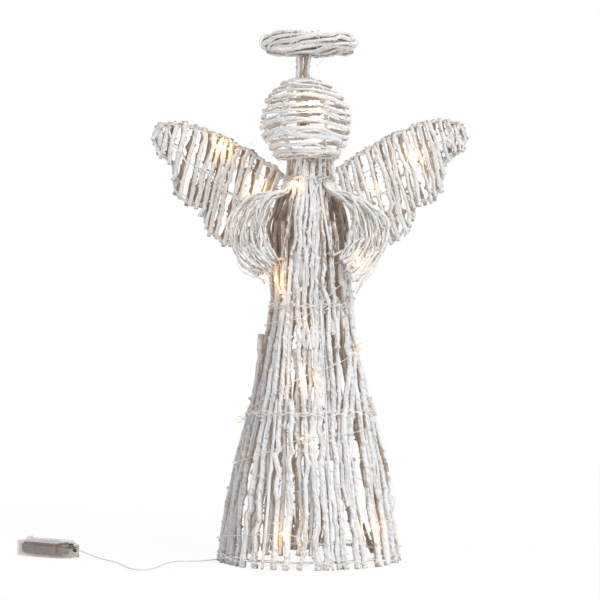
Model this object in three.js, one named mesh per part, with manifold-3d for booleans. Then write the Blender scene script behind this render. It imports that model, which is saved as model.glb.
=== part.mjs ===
// Rattan light-up angel: a figure of whitewashed twigs on wire hoops, with a warm light string on a battery
// box. Millimetres, +Z up. The origin is on the floor at the middle of the skirt, +X is the viewer's right
// and -Y is the front.
import * as THREE from 'three';
import { mergeVertices } from 'three/addons/utils/BufferGeometryUtils.js';
import Module from 'manifold-3d';

const wasm = await Module();
wasm.setup();

// Driving dimensions of the figure
const baseRadius = 100;
const hipHeight = 164;
const hipRadius = 66.4;
const waistHeight = 292;
const waistRadius = 40;
const chestHeight = 313;
const chestRadius = 43.5;
const armpitHeight = 373;
const armpitRadius = 41.3;
const shoulderHeight = 402;
const shoulderRadius = 33.5;
const neckHeight = 428;
const neckRadius = 20.8;
const staveHeight = 454;
const headRadius = 53;
const headHeight = 495;
const haloOuterRadius = 55.5;
const haloLift = 37;

// Clearance left between two pieces that touch, and the overrun of every cut
const seatGap = 0.3;
const cutOverrun = 1;

// Finishes
const whitewash = new THREE.MeshStandardMaterial({ color: 0xe4e2df, roughness: 0.9, metalness: 0 });
const greyedWhitewash = new THREE.MeshStandardMaterial({ color: 0xcfcbc6, roughness: 0.9, metalness: 0 });
const bareTwig = new THREE.MeshStandardMaterial({ color: 0x9a8370, roughness: 0.85, metalness: 0 });
const paintedWire = new THREE.MeshStandardMaterial({ color: 0xdad7d2, roughness: 0.6, metalness: 0.2 });
const lampGlow = new THREE.MeshStandardMaterial({ color: 0xffd48a, roughness: 0.3, metalness: 0 });
const clearPlastic = new THREE.MeshStandardMaterial({ color: 0xc9c7c4, roughness: 0.25, metalness: 0 });
const clearCable = new THREE.MeshStandardMaterial({ color: 0xd9d9d8, roughness: 0.35, metalness: 0 });
const cellWrap = new THREE.MeshStandardMaterial({ color: 0x77726f, roughness: 0.4, metalness: 0.3 });
const plating = new THREE.MeshStandardMaterial({ color: 0xb9b7b2, roughness: 0.3, metalness: 1 });
const darkPlastic = new THREE.MeshStandardMaterial({ color: 0x4a3c34, roughness: 0.5, metalness: 0 });
const boardGreen = new THREE.MeshStandardMaterial({ color: 0x6f7a5c, roughness: 0.6, metalness: 0 });

const angel = new THREE.Group();

function addPart(name, geometry, material, group = angel) {
  const mesh = new THREE.Mesh(geometry, material);
  mesh.name = name;
  group.add(mesh);
}

const radians = THREE.MathUtils.degToRad;
const lerp = THREE.MathUtils.lerp;
const goldenAngle = Math.PI * (3 - Math.sqrt(5));
const up = new THREE.Vector3(0, 0, 1);
const back = new THREE.Vector3(0, 1, 0);

// A point at a radius, an azimuth in radians and a height about the upright axis
function aroundAxis(radius, azimuth, height) {
  return new THREE.Vector3(radius * Math.cos(azimuth), radius * Math.sin(azimuth), height);
}

// A stick: a ring of corners square to the path at each of its points, closed by a flat face at each end.
// radiusAt takes the share of the path, and facingAt gives the direction that the first corner faces. Without
// it each ring faces as the one before it, so that a winding wire isn't twisted.
function stick(path, radiusAt, sides, facingAt) {
  const last = path.length - 1;
  const corners = [];
  const faces = [];
  let carried = up;
  path.forEach((point, i) => {
    const along = path[Math.min(i + 1, last)].clone().sub(path[Math.max(i - 1, 0)]).normalize();
    const facing = (facingAt ? facingAt(point) : carried).clone();
    facing.addScaledVector(along, -facing.dot(along)).normalize();
    carried = facing;
    const beside = along.clone().cross(facing);
    for (let s = 0; s < sides; s += 1) {
      const angle = (2 * Math.PI * s) / sides;
      const corner = point.clone();
      corner.addScaledVector(facing, radiusAt(i / last) * Math.cos(angle));
      corner.addScaledVector(beside, radiusAt(i / last) * Math.sin(angle));
      corners.push(corner.x, corner.y, corner.z);
    }
  });
  for (let i = 0; i < last; i += 1) {
    for (let s = 0; s < sides; s += 1) {
      const here = i * sides + s;
      const next = i * sides + ((s + 1) % sides);
      faces.push(here, next, next + sides, here, next + sides, here + sides);
    }
  }
  for (let s = 1; s < sides - 1; s += 1) {
    faces.push(0, s + 1, s);
    faces.push(last * sides, last * sides + s, last * sides + s + 1);
  }
  const geometry = new THREE.BufferGeometry();
  geometry.setAttribute('position', new THREE.Float32BufferAttribute(corners, 3));
  geometry.setIndex(faces);
  return geometry;
}

// A wire or cable of one thickness along a smooth curve
function wire(points, radius, steps, sides) {
  const section = new THREE.Shape();
  for (let s = 0; s < sides; s += 1) {
    const angle = (2 * Math.PI * s) / sides;
    const corner = new THREE.Vector2(radius * Math.cos(angle), radius * Math.sin(angle));
    if (s === 0) section.moveTo(corner.x, corner.y);
    else section.lineTo(corner.x, corner.y);
  }
  const extrudePath = new THREE.CatmullRomCurve3(points);
  return new THREE.ExtrudeGeometry(section, { steps, extrudePath, bevelEnabled: false });
}

// A closed geometry as a solid for joining and cutting, and back again
function solidOf(geometry) {
  const bare = geometry.clone();
  bare.deleteAttribute('normal');
  bare.deleteAttribute('uv');
  const merged = mergeVertices(bare);
  const vertProperties = new Float32Array(merged.attributes.position.array);
  const triVerts = new Uint32Array(merged.index.array);
  return new wasm.Manifold(new wasm.Mesh({ numProp: 3, vertProperties, triVerts }));
}

function geometryOf(solid) {
  const mesh = solid.getMesh();
  const geometry = new THREE.BufferGeometry();
  geometry.setAttribute('position', new THREE.Float32BufferAttribute(mesh.vertProperties, 3));
  geometry.setIndex(Array.from(mesh.triVerts));
  return geometry;
}

function joined(geometries) {
  return geometryOf(geometries.map(solidOf).reduce((whole, next) => whole.add(next)));
}

function cutBy(geometry, cutters) {
  return geometryOf(cutters.map(solidOf).reduce((whole, next) => whole.subtract(next), solidOf(geometry)));
}

function boxBetween(low, high) {
  const size = high.clone().sub(low);
  const middle = low.clone().add(high).divideScalar(2);
  return new THREE.BoxGeometry(size.x, size.y, size.z).translate(middle.x, middle.y, middle.z);
}

// The least gap of a wound stick to itself, between points that lie at least half a loop apart
function leastGap(path, diameter, pointsPerLoop) {
  let least = Infinity;
  for (let i = 0; i < path.length; i += 1) {
    for (let j = i + Math.floor(pointsPerLoop / 2); j < path.length; j += 1) {
      least = Math.min(least, path[i].distanceTo(path[j]) - diameter);
    }
  }
  return least;
}

// Body: the line that every full-length stave follows, as heights and radii of its middle. The belly shares
// say how far between two named heights and radii the skirt swells.
const footHeight = 4;
const skirtSwellShares = [[0.45, 0.31]];
const upperSkirtShares = [[0.66, 0.73]];

const bodyLine = [
  [0, baseRadius],
  [footHeight, baseRadius],
  ...skirtSwellShares.map(([rise, draw]) => [hipHeight * rise, lerp(baseRadius, hipRadius, draw)]),
  [hipHeight, hipRadius],
  ...upperSkirtShares.map(([rise, draw]) => [
    lerp(hipHeight, waistHeight, rise),
    lerp(hipRadius, waistRadius, draw),
  ]),
  [waistHeight, waistRadius],
  [chestHeight, chestRadius],
  [armpitHeight, armpitRadius],
  [shoulderHeight, shoulderRadius],
  [neckHeight, neckRadius],
  [staveHeight, neckRadius],
];

// The radius of the body line at a height, and the angle at which it leans there
function bodyAt(height) {
  const upper = Math.max(1, bodyLine.findIndex(([level]) => level >= height));
  const [lowHeight, lowRadius] = bodyLine[upper - 1];
  const [highHeight, highRadius] = bodyLine[upper];
  const share = (height - lowHeight) / (highHeight - lowHeight);
  const lean = Math.atan2(highRadius - lowRadius, highHeight - lowHeight);
  return { radius: lerp(lowRadius, highRadius, share), lean };
}

// Staves: long ones from the floor into the head and shorter ones between them, which end in turn below the
// hoop of the waist, under the shoulder or just over the hips. Every second one of the shorter ones is forked.
const staveCount = 16;
const staveSides = 5;
const staveOutwardShare = Math.cos(Math.PI / staveSides);
const staveFootRadius = 4;
const staveTopRadius = 3.3;
const girthSpreadShare = 0.08;
const wanderShare = 0.12;
const shortStaveHeights = [255, 385, 385, 184];
const forkHeight = 120;
const forkLegRadius = 2.9;
const forkLegSpacing = 10.6;
const stavePitch = (2 * Math.PI) / staveCount;

function staveRadiusAt(height) {
  return lerp(staveFootRadius, staveTopRadius, height / staveHeight);
}

// A stave wanders sideways by a share of the free gap to its neighbours, which keeps it clear of them
function stavePoint(height, azimuth, seed) {
  const { radius } = bodyAt(height);
  const neighbours = height > Math.max(...shortStaveHeights) ? staveCount : staveCount * 2;
  const freeGap = (2 * Math.PI * radius) / neighbours - 2 * staveRadiusAt(height);
  const wander = wanderShare * freeGap * Math.sin(seed * goldenAngle + (2 * Math.PI * height) / hipHeight);
  return aroundAxis(radius, azimuth + (height > footHeight ? wander / radius : 0), height);
}

function inwardOf(azimuth) {
  return () => aroundAxis(-1, azimuth, 0);
}

function stave(azimuth, topHeight, bottomHeight, seed) {
  const inner = bodyLine.map(([height]) => height).filter((h) => h > bottomHeight && h < topHeight);
  const heights = [bottomHeight, ...inner, topHeight];
  const path = heights.map((height) => stavePoint(height, azimuth, seed));
  const girth = 1 - girthSpreadShare * (1 + Math.sin(seed)) / 2;
  const radius = (share) => girth * staveRadiusAt(lerp(bottomHeight, topHeight, share));
  return stick(path, radius, staveSides, inwardOf(azimuth));
}

// A forked stave stands on two legs, which run side by side up to the fork and into its stem
function forkedStave(azimuth, topHeight, seed) {
  const stemBottom = forkHeight - 2 * staveRadiusAt(forkHeight);
  const legs = [-1, 1].map((side) => {
    const legHeights = [0, footHeight, hipHeight * skirtSwellShares[0][0], forkHeight];
    const path = legHeights.map((height) => {
      const { radius } = bodyAt(height);
      const apart = (forkLegSpacing / 2) * (1 - (height / forkHeight) ** 2);
      const beside = aroundAxis(1, azimuth + Math.PI / 2, 0);
      return stavePoint(height, azimuth, seed).addScaledVector(beside, (side * apart * radius) / baseRadius);
    });
    path[1].setX(path[0].x).setY(path[0].y);
    return stick(path, () => forkLegRadius, staveSides, inwardOf(azimuth));
  });
  return joined([stave(azimuth, topHeight, stemBottom, seed), ...legs]);
}

for (let i = 0; i < staveCount; i += 1) {
  const label = String(i + 1).padStart(2, '0');
  addPart(`long_stave_${label}`, stave(i * stavePitch, staveHeight, 0, i), whitewash);
  const shortTop = shortStaveHeights[i % shortStaveHeights.length];
  const between = (i + 1 / 2) * stavePitch;
  const seed = staveCount + i;
  const short = i % 2 ? forkedStave(between, shortTop, seed) : stave(between, shortTop, 0, seed);
  addPart(`short_stave_${label}`, short, greyedWhitewash);
}

// Hoops: wire rings inside the staves, which are tied to them
const hoopRadius = 1.6;
const hoopSides = 4;
const baseHoopHeight = 9;
const hipHoopHeight = hipHeight + footHeight;
const waistHoopHeight = waistHeight - footHeight;
const neckHoopHeight = neckHeight + footHeight;

// How far inside the body line the middle of a wire lies when it touches the staves
function insideStaves(height, wireRadius) {
  const { radius, lean } = bodyAt(height);
  return radius - (staveRadiusAt(height) + seatGap + wireRadius) / Math.cos(lean);
}

function hoopAt(height) {
  const reach = insideStaves(height, hoopRadius);
  return new THREE.TorusGeometry(reach, hoopRadius, hoopSides, 2 * staveCount).translate(0, 0, height);
}

addPart('base_hoop', hoopAt(baseHoopHeight), paintedWire);
addPart('hip_hoop', hoopAt(hipHoopHeight), paintedWire);
addPart('waist_hoop', hoopAt(waistHoopHeight), paintedWire);
addPart('neck_hoop', hoopAt(neckHoopHeight), paintedWire);

// Head: a ball of one long twig wound in a spiral over wire meridians, which stand on a ring in the neck
const headTwigRadius = 3.2;
const headLoops = 12;
const loopSteps = 20;
const loopSides = 5;
const headCrownRadius = 7;
const headMouthRadius = 35;
const headWireRadius = 1;
const headWireSides = 4;
const meridianCount = 6;
const meridianSteps = 9;
const headRingHeight = 446;
const headWindingRadius = headRadius - headTwigRadius;
const headFrameRadius = headWindingRadius - headTwigRadius - seatGap - headWireRadius;
const headCentre = new THREE.Vector3(0, 0, headHeight);

// The angle from the top of the ball down to where it is as wide as the given radius
const crownAngle = Math.asin(headCrownRadius / headWindingRadius);
const mouthAngle = Math.PI - Math.asin(headMouthRadius / headWindingRadius);

function ballPoint(radius, fromTop, azimuth) {
  return aroundAxis(radius * Math.sin(fromTop), azimuth, headHeight + radius * Math.cos(fromTop));
}

const headPath = [];
for (let i = 0; i <= headLoops * loopSteps; i += 1) {
  const share = i / (headLoops * loopSteps);
  const fromTop = lerp(crownAngle, mouthAngle, share);
  headPath.push(ballPoint(headWindingRadius, fromTop, 2 * Math.PI * headLoops * share));
}
const fromHeadCentre = (point) => point.clone().sub(headCentre);
addPart('head_winding', stick(headPath, () => headTwigRadius, loopSides, fromHeadCentre), whitewash);
console.log('least gap in the head winding', leastGap(headPath, 2 * headTwigRadius, loopSteps).toFixed(2));

// Each meridian rises from the ring past the staves' tops before it bends out
const headRingRadius = insideStaves(headRingHeight, headWireRadius);
const meridianClearance = 3;
const meridianFootTop = staveHeight + meridianClearance;
const meridianArcBottom = meridianFootTop + meridianClearance;
const headFramePieces = [];
for (let i = 0; i < meridianCount; i += 1) {
  const azimuth = (i * 2 * Math.PI) / meridianCount;
  const foot = [headRingHeight, meridianFootTop].map((height) => aroundAxis(headRingRadius, azimuth, height));
  const lowest = Math.acos((meridianArcBottom - headHeight) / headFrameRadius);
  const arc = [];
  for (let k = 0; k < meridianSteps; k += 1) {
    arc.push(ballPoint(headFrameRadius, lerp(lowest, 0, k / (meridianSteps - 1)), azimuth));
  }
  const beside = aroundAxis(1, azimuth + Math.PI / 2, 0);
  headFramePieces.push(stick([...foot, ...arc], () => headWireRadius, headWireSides, () => beside));
}
const headRing = new THREE.TorusGeometry(headRingRadius, headWireRadius, headWireSides, staveCount);
headFramePieces.push(headRing.translate(0, 0, headRingHeight));
addPart('head_frame', joined(headFramePieces), paintedWire);

// Halo: one vine wound round and round, each loop twisted about the others, well above the head
const haloHeight = headHeight + headRadius + haloLift;
const haloVineRadius = 2.3;
const haloBundleRadius = 6;
const haloLoops = 6;
const haloTwists = 2;
const haloEndGap = radians(12);
const haloRingRadius = haloOuterRadius - haloBundleRadius - haloVineRadius;

const haloPath = [];
for (let i = 0; i <= haloLoops * loopSteps; i += 1) {
  const share = i / (haloLoops * loopSteps);
  const azimuth = Math.PI + share * (2 * Math.PI * haloLoops - haloEndGap);
  const twist = (azimuth * (haloTwists * haloLoops + 1)) / haloLoops;
  const radius = haloRingRadius + haloBundleRadius * Math.cos(twist);
  haloPath.push(aroundAxis(radius, azimuth, haloHeight + haloBundleRadius * Math.sin(twist)));
}
function fromHaloRing(point) {
  const azimuth = Math.atan2(point.y, point.x);
  return point.clone().sub(aroundAxis(haloRingRadius, azimuth, haloHeight));
}
addPart('halo_winding', stick(haloPath, () => haloVineRadius, loopSides, fromHaloRing), whitewash);
console.log('least gap in the halo winding', leastGap(haloPath, 2 * haloVineRadius, loopSteps).toFixed(2));

// Halo stalk: four twigs in a row that lie against the back of the head and carry the back of the halo
const stalkTwigRadius = 1.8;
const stalkTwigPitch = 4;
const stalkTwigCount = 4;
const stalkTail = 12;
const stalkTieRadius = 0.6;
const stalkTieShares = [0.08, 0.9];
const haloUnderside = haloHeight - haloBundleRadius - haloVineRadius;
const stalkTop = new THREE.Vector3(0, haloRingRadius, haloUnderside - seatGap);
const stalkReach = headRadius + seatGap + stalkTwigRadius;
const toHead = headCentre.clone().sub(stalkTop);
const stalkTurn = Math.asin(stalkReach / toHead.length());
const stalkDown = toHead.clone().normalize().applyAxisAngle(new THREE.Vector3(1, 0, 0), stalkTurn);
const stalkTangent = Math.sqrt(toHead.lengthSq() - stalkReach ** 2);
const stalkBottom = stalkTop.clone().addScaledVector(stalkDown, stalkTangent + stalkTail);
const stalkPieces = [];
for (let i = 0; i < stalkTwigCount; i += 1) {
  const shift = new THREE.Vector3((i - (stalkTwigCount - 1) / 2) * stalkTwigPitch, 0, 0);
  const ends = [stalkBottom.clone().add(shift), stalkTop.clone().add(shift)];
  stalkPieces.push(stick(ends, () => stalkTwigRadius, loopSides, () => back));
}
stalkTieShares.forEach((share) => {
  const reach = ((stalkTwigCount - 1) * stalkTwigPitch) / 2 + stalkTwigRadius;
  const middle = stalkBottom.clone().lerp(stalkTop, share).addScaledVector(back, stalkTwigRadius);
  const ends = [middle.clone().setX(-reach), middle.clone().setX(reach)];
  stalkPieces.push(stick(ends, () => stalkTieRadius, headWireSides, () => up));
});
addPart('halo_stalk', joined(stalkPieces), bareTwig);

// Wings: each has a wire outline in its middle plane, with a layer of slanting sticks before and behind it.
// The outline shares run from the root over the top to the tip and back under the three tiers of feathers,
// as shares of the span and of the height of the wing.
const wingRootReach = 28;
const wingTipReach = 183;
const wingBottomHeight = 352;
const wingTopHeight = 503;
const wingPlane = 50;
const wingSweep = radians(8);
const wingWireRadius = 1.5;
const wingWireSides = 5;
const wingSlant = radians(14.5);
const wingBulge = 6.5;
const wingStickEnds = 2;
const wingStickSides = 4;
const wingStickSegments = 2;
const wingBowShare = 0.012;
const wingBindingRadius = 1;
const wingBindingSides = 3;
const wingBindingShare = 0.9;
const wingOutlineShares = [
  [0.013, 0.57], [0.13, 0.66], [0.234, 0.735], [0.37, 0.81], [0.506, 0.88], [0.623, 0.93],
  [0.734, 0.962], [0.844, 0.97], [0.93, 0.955], [0.97, 0.89], [0.97, 0.81], [0.92, 0.74],
  [0.845, 0.675], [0.828, 0.54], [0.826, 0.475], [0.765, 0.39], [0.68, 0.353], [0.62, 0.35],
  [0.595, 0.23], [0.56, 0.15], [0.51, 0.105], [0.44, 0.063], [0.36, 0.045], [0.23, 0.03], [0.11, 0.042],
];
const leftStickRadius = 2.9;
const rightStickRadius = 2.6;
const rightWingLift = 3;
const wings = [
  { name: 'left', side: -1, sticks: 16, stickRadius: leftStickRadius, lift: 0 },
  { name: 'right', side: 1, sticks: 18, stickRadius: rightStickRadius, lift: rightWingLift },
];
const wingOutline = wingOutlineShares.map(([out, rise]) => [
  lerp(wingRootReach, wingTipReach, out),
  lerp(wingBottomHeight, wingTopHeight, rise),
]);

// A point of a wing from its reach, its height and its depth behind the middle plane
function wingPoint({ side, lift }, reach, height, depth) {
  const out = reach - wingRootReach;
  return new THREE.Vector3(
    side * (wingRootReach + out * Math.cos(wingSweep) - depth * Math.sin(wingSweep)),
    wingPlane + out * Math.sin(wingSweep) + depth * Math.cos(wingSweep),
    height + lift,
  );
}

// How far across the wing's sticks a place of the outline lies
function acrossSticks([reach, height]) {
  return reach * Math.cos(wingSlant) + height * Math.sin(wingSlant);
}

// The highest and the lowest place of the outline that lie at a distance across the sticks
function spanAt(across) {
  const crossings = [];
  wingOutline.forEach((from, i) => {
    const to = wingOutline[(i + 1) % wingOutline.length];
    const share = (across - acrossSticks(from)) / (acrossSticks(to) - acrossSticks(from));
    if (share >= 0 && share < 1) crossings.push([lerp(from[0], to[0], share), lerp(from[1], to[1], share)]);
  });
  crossings.sort((a, b) => b[1] - a[1]);
  return { top: crossings[0], bottom: crossings[crossings.length - 1] };
}

// Sticks shorter than this bulge less
const wingReachOfBulge = (wingTopHeight - wingBottomHeight) / 2;

// One layer of sticks with the wire that binds them, face -1 before the outline and 1 behind it
function stickLayer(wing, face, count) {
  const distances = wingOutline.map(acrossSticks);
  const first = Math.max(distances[0], distances[distances.length - 1]);
  const pitch = (Math.max(...distances) - first) / wing.sticks;
  const seat = wingWireRadius + seatGap + wing.stickRadius;
  const outwards = wingPoint(wing, 0, 0, face).sub(wingPoint(wing, 0, 0, 0));
  const bindingSegment = Math.floor((wingStickSegments - 1) / 2);
  const pieces = [];
  const binding = [];
  for (let i = 0; i < count; i += 1) {
    const { top, bottom } = spanAt(first + (i + (wing.sticks - count + 1) / 2) * pitch);
    const length = Math.hypot(top[0] - bottom[0], top[1] - bottom[1]);
    const spare = wingStickEnds / length;
    const path = [];
    for (let k = 0; k <= wingStickSegments; k += 1) {
      const share = lerp(-spare, 1 + spare, k / wingStickSegments);
      const bulge = wingBulge * Math.sin(Math.PI * THREE.MathUtils.clamp(share, 0, 1));
      const bow = wingBowShare * length * Math.sin(i * goldenAngle + Math.PI * share);
      const reach = lerp(bottom[0], top[0], share) + bow;
      const depth = seat + bulge * Math.min(1, length / wingReachOfBulge);
      path.push(wingPoint(wing, reach, lerp(bottom[1], top[1], share), face * depth));
    }
    pieces.push(stick(path, () => wing.stickRadius, wingStickSides, () => outwards));
    const bound = path[bindingSegment].clone().lerp(path[bindingSegment + 1], wingBindingShare);
    binding.push(bound.addScaledVector(outwards, wing.stickRadius));
  }
  pieces.push(stick(binding, () => wingBindingRadius, wingBindingSides, () => up));
  return joined(pieces);
}

// The wire runs round the outline, and both its ends reach in to lie against the staves at the back
const wingHoldHeights = [neckHeight, wingBottomHeight];
const wingHoldAzimuth = 3 * stavePitch;
const wingHoldTail = 10;

// How far out a wire's middle lies when it leans against the outside of the staves, or how far out their
// outside itself lies when no radius is given
function outsideStaves(height, wireRadius = 0) {
  const { radius, lean } = bodyAt(height);
  return radius + (staveRadiusAt(height) * staveOutwardShare + seatGap + wireRadius) / Math.cos(lean);
}

function wingHold(wing, height) {
  const level = height + wing.lift;
  const point = aroundAxis(outsideStaves(level, wingWireRadius), wingHoldAzimuth, level);
  return point.setX(wing.side * point.x);
}

wings.forEach((wing) => {
  const outline = wingOutline.map(([reach, height]) => wingPoint(wing, reach, height, 0));
  const [upper, lower] = wingHoldHeights;
  const path = [
    wingHold(wing, upper - wingHoldTail),
    wingHold(wing, upper),
    ...outline,
    wingHold(wing, lower),
    wingHold(wing, lower + wingHoldTail),
  ];
  const outlineWire = stick(path, () => wingWireRadius, wingWireSides, () => back);
  addPart(`${wing.name}_wing_frame`, outlineWire, paintedWire);
  addPart(`${wing.name}_wing_front_sticks`, stickLayer(wing, -1, wing.sticks), whitewash);
  addPart(`${wing.name}_wing_back_sticks`, stickLayer(wing, 1, wing.sticks - 1), bareTwig);
});

// Arms: vines tied at the shoulder, which fan out over the elbow and end before the waist. The inner and the
// outer line place the first and the last vine, as shares of the reach of the elbow, of the forward reach of
// the hands and of the rise from the hands to the tie.
const armVineCount = 10;
const armVineRadius = 1.4;
const armVineSides = 4;
const armRows = 2;
const armTieTurn = radians(4);
const armTieAzimuth = 2 * stavePitch - armTieTurn;
const armTieHeight = 424;
const armTieLength = 4;
const armTieSides = 12;
const armLayerDepth = 2.6;
const elbowReach = 84;
const handForward = 46;
const handHeight = 316;
const armInnerShares = [
  [0.49, 0.52, 0.84], [0.57, 0.61, 0.65], [0.56, 0.72, 0.46], [0.48, 0.85, 0.32], [0.38, 1, 0.22],
];
const armOuterShares = [
  [0.75, 0.48, 0.82], [1, 0.57, 0.61], [1, 0.65, 0.39], [0.89, 0.8, 0.18], [0.7, 0.96, 0],
];
const armPitch = 2 * armVineRadius + seatGap / 2;
const armColumns = armVineCount / armRows;
const armTieHalfWidth = (armColumns * armPitch) / 2 + seatGap;
const armTieHalfDepth = (armRows * armPitch) / 2 + seatGap;

const armTieReach = outsideStaves(armTieHeight - armTieLength / 2) + armTieHalfDepth;

function armPoint([outShare, forwardShare, riseShare]) {
  const height = lerp(handHeight, armTieHeight, riseShare);
  return new THREE.Vector3(elbowReach * outShare, -handForward * forwardShare, height);
}

[-1, 1].forEach((side) => {
  const tie = aroundAxis(armTieReach, -armTieAzimuth, armTieHeight);
  const pieces = [];
  for (let i = 0; i < armVineCount; i += 1) {
    const share = i / (armVineCount - 1);
    const row = (i % armRows) - (armRows - 1) / 2;
    const column = Math.floor(i / armRows) - (armColumns - 1) / 2;
    const start = tie.clone();
    start.addScaledVector(aroundAxis(1, -armTieAzimuth, 0), row * armPitch);
    start.addScaledVector(aroundAxis(1, -armTieAzimuth + Math.PI / 2, 0), column * armPitch);
    const path = [armTieLength, -armTieLength / 2].map((rise) => start.clone().setZ(armTieHeight + rise));
    armInnerShares.forEach((inner, k) => {
      const place = armPoint(inner).lerp(armPoint(armOuterShares[k]), share);
      path.push(place.addScaledVector(back, -row * armLayerDepth));
    });
    path.forEach((point) => point.setX(side * point.x));
    pieces.push(stick(path, () => armVineRadius, armVineSides, () => back));
  }
  const wrap = new THREE.CylinderGeometry(1, 1, armTieLength, armTieSides);
  wrap.rotateX(Math.PI / 2).scale(armTieHalfDepth, armTieHalfWidth, 1);
  wrap.rotateZ(side < 0 ? Math.PI + armTieAzimuth : -armTieAzimuth);
  wrap.translate(side * tie.x, tie.y, tie.z);
  addPart(side < 0 ? 'left_arm' : 'right_arm', joined([...pieces, wrap]), whitewash);
});

// Lead: a flat two-core cable from the battery box over the floor and between two feet of the skirt
const leadRadius = 1.2;
const leadSides = 8;
const leadStepLength = 3 * 2 * leadRadius;
const leadAzimuth = Math.PI + stavePitch / 4;
const jointRadius = 2;
const jointLength = 12;
const jointSides = 10;
const jointReach = insideStaves(0, jointRadius) - jointLength;
const leadRoute = [
  [-97, -9.6, 1.8], [-104, -11.2, 1.4], [-113, -17, 1.3], [-125, -24, 1.3], [-137, -25.5, 1.3],
  [-147, -26, 1.3], [-155.5, -38, 1.3], [-163, -66, 1.3], [-170.5, -92, 1.3], [-181, -105, 1.3],
  [-192, -94, 1.3], [-205, -62, 1.3], [-217, -32, 1.3], [-228, -14, 1.5], [-238, -5, 2.8],
  [-247, 1.5, 5.2], [-254.5, 7, 7.4],
];

const jointEnd = aroundAxis(jointReach + jointLength, leadAzimuth, jointRadius + seatGap);
const joint = new THREE.CylinderGeometry(jointRadius, jointRadius, jointLength, jointSides);
joint.rotateZ(Math.PI / 2).rotateZ(leadAzimuth);
const jointMiddle = aroundAxis(jointReach + jointLength / 2, leadAzimuth, jointEnd.z);
addPart('lead_joint', joint.translate(jointMiddle.x, jointMiddle.y, jointMiddle.z), clearPlastic);

// Battery box: it lies on the floor with its nose to the figure. Along its own X it runs from the tip of the
// nose to the tail. The case holds two cells side by side, and the lid over them hinges at the nose.
const boxTurn = Math.PI - radians(33);
const boxPlace = new THREE.Vector3(-266.5, 16.5, 0);
const cellRadius = 7.1;
const cellLength = 49.2;
const cellNubRadius = 2.75;
const cellNubLength = 1.3;
const cellSides = 14;
const cellClearance = 0.4;
const contactDepth = 3;
const contactThickness = 0.5;
const contactRadius = 3.4;
const contactTipRadius = 1.4;
const contactSides = 8;
const boxWall = 1.5;
const boxWidth = 2 * (2 * cellRadius + boxWall) + 3 * cellClearance;
const boxHeight = 2 * (cellRadius + cellClearance + boxWall);
const noseLength = 13.5;
const noseTipWidth = 16;
const noseHeight = 14.5;
const trayHeight = 11;
const hingeClearance = 0.6;
const boxLength = noseLength + cellLength + cellNubLength + 2 * contactDepth + boxWall;
const cableHoleHeight = 8.5;
const glandRadius = 2;
const glandLength = 4;
const glandProud = 2;
const tabWidth = 10;
const tabThickness = 1.5;
const tabBottom = 6;
const tabTop = 20;
const knobLength = 3.2;
const knobWidth = 4;
const knobProud = 1.4;
const knobTravel = 3;
const sliderSpread = 1.2;
const sliderThickness = 0.8;
const boardThickness = 1;

const box = new THREE.Group();
box.position.copy(boxPlace);
box.rotation.z = boxTurn;
angel.add(box);

function boxPart(from, to) {
  return boxBetween(new THREE.Vector3(...from), new THREE.Vector3(...to));
}

// A tapered block of the nose, drawn in from its walls by a margin
function noseBlock(margin, bottom, top) {
  const halfAt = (x) => lerp(noseTipWidth / 2, boxWidth / 2, x / noseLength) - margin;
  const plan = new THREE.Shape();
  plan.moveTo(margin, -halfAt(margin));
  plan.lineTo(noseLength - margin, -halfAt(noseLength - margin));
  plan.lineTo(noseLength - margin, halfAt(noseLength - margin));
  plan.lineTo(margin, halfAt(margin));
  const block = new THREE.ExtrudeGeometry(plan, { depth: top - bottom, bevelEnabled: false });
  return block.translate(0, 0, bottom);
}

const halfWidth = boxWidth / 2;
const halfInside = halfWidth - boxWall;
const slotLength = knobLength + knobTravel + 2 * seatGap;
const slotStart = (noseLength - slotLength) / 2;
const holeRadius = glandRadius + seatGap;
const cableHole = new THREE.CylinderGeometry(holeRadius, holeRadius, noseLength / 2, jointSides);
cableHole.rotateZ(Math.PI / 2).translate(0, 0, cableHoleHeight);
const bulkheadTop = boxHeight - boxWall - hingeClearance;
const caseShell = joined([
  noseBlock(0, 0, noseHeight),
  boxPart([noseLength - boxWall, -halfWidth, 0], [noseLength, halfWidth, bulkheadTop]),
  boxPart([noseLength - boxWall, -halfWidth, 0], [boxLength, halfWidth, trayHeight]),
]);
addPart('battery_case', cutBy(caseShell, [
  boxPart([noseLength, -halfInside, boxWall], [boxLength - boxWall, halfInside, boxHeight]),
  noseBlock(boxWall, boxWall, noseHeight - boxWall),
  boxPart(
    [slotStart, -knobWidth / 2 - seatGap, noseHeight - boxWall - cutOverrun],
    [slotStart + slotLength, knobWidth / 2 + seatGap, noseHeight + cutOverrun],
  ),
  cableHole,
]), clearPlastic, box);

const tabSide = -halfWidth / 2;
const tabOutside = boxLength + seatGap + tabThickness;
const lidShell = cutBy(
  boxPart([noseLength + seatGap, -halfWidth, trayHeight + seatGap], [boxLength, halfWidth, boxHeight]),
  [boxPart([noseLength, -halfInside, trayHeight], [boxLength - boxWall, halfInside, boxHeight - boxWall])],
);
addPart('battery_lid', joined([
  lidShell,
  boxPart(
    [boxLength - boxWall / 2, tabSide - tabWidth / 2, trayHeight + 2 * seatGap],
    [tabOutside, tabSide + tabWidth / 2, boxHeight - boxWall / 2],
  ),
  boxPart(
    [boxLength + seatGap, tabSide - tabWidth / 2, tabBottom],
    [tabOutside, tabSide + tabWidth / 2, tabTop],
  ),
]), clearPlastic, box);

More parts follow.
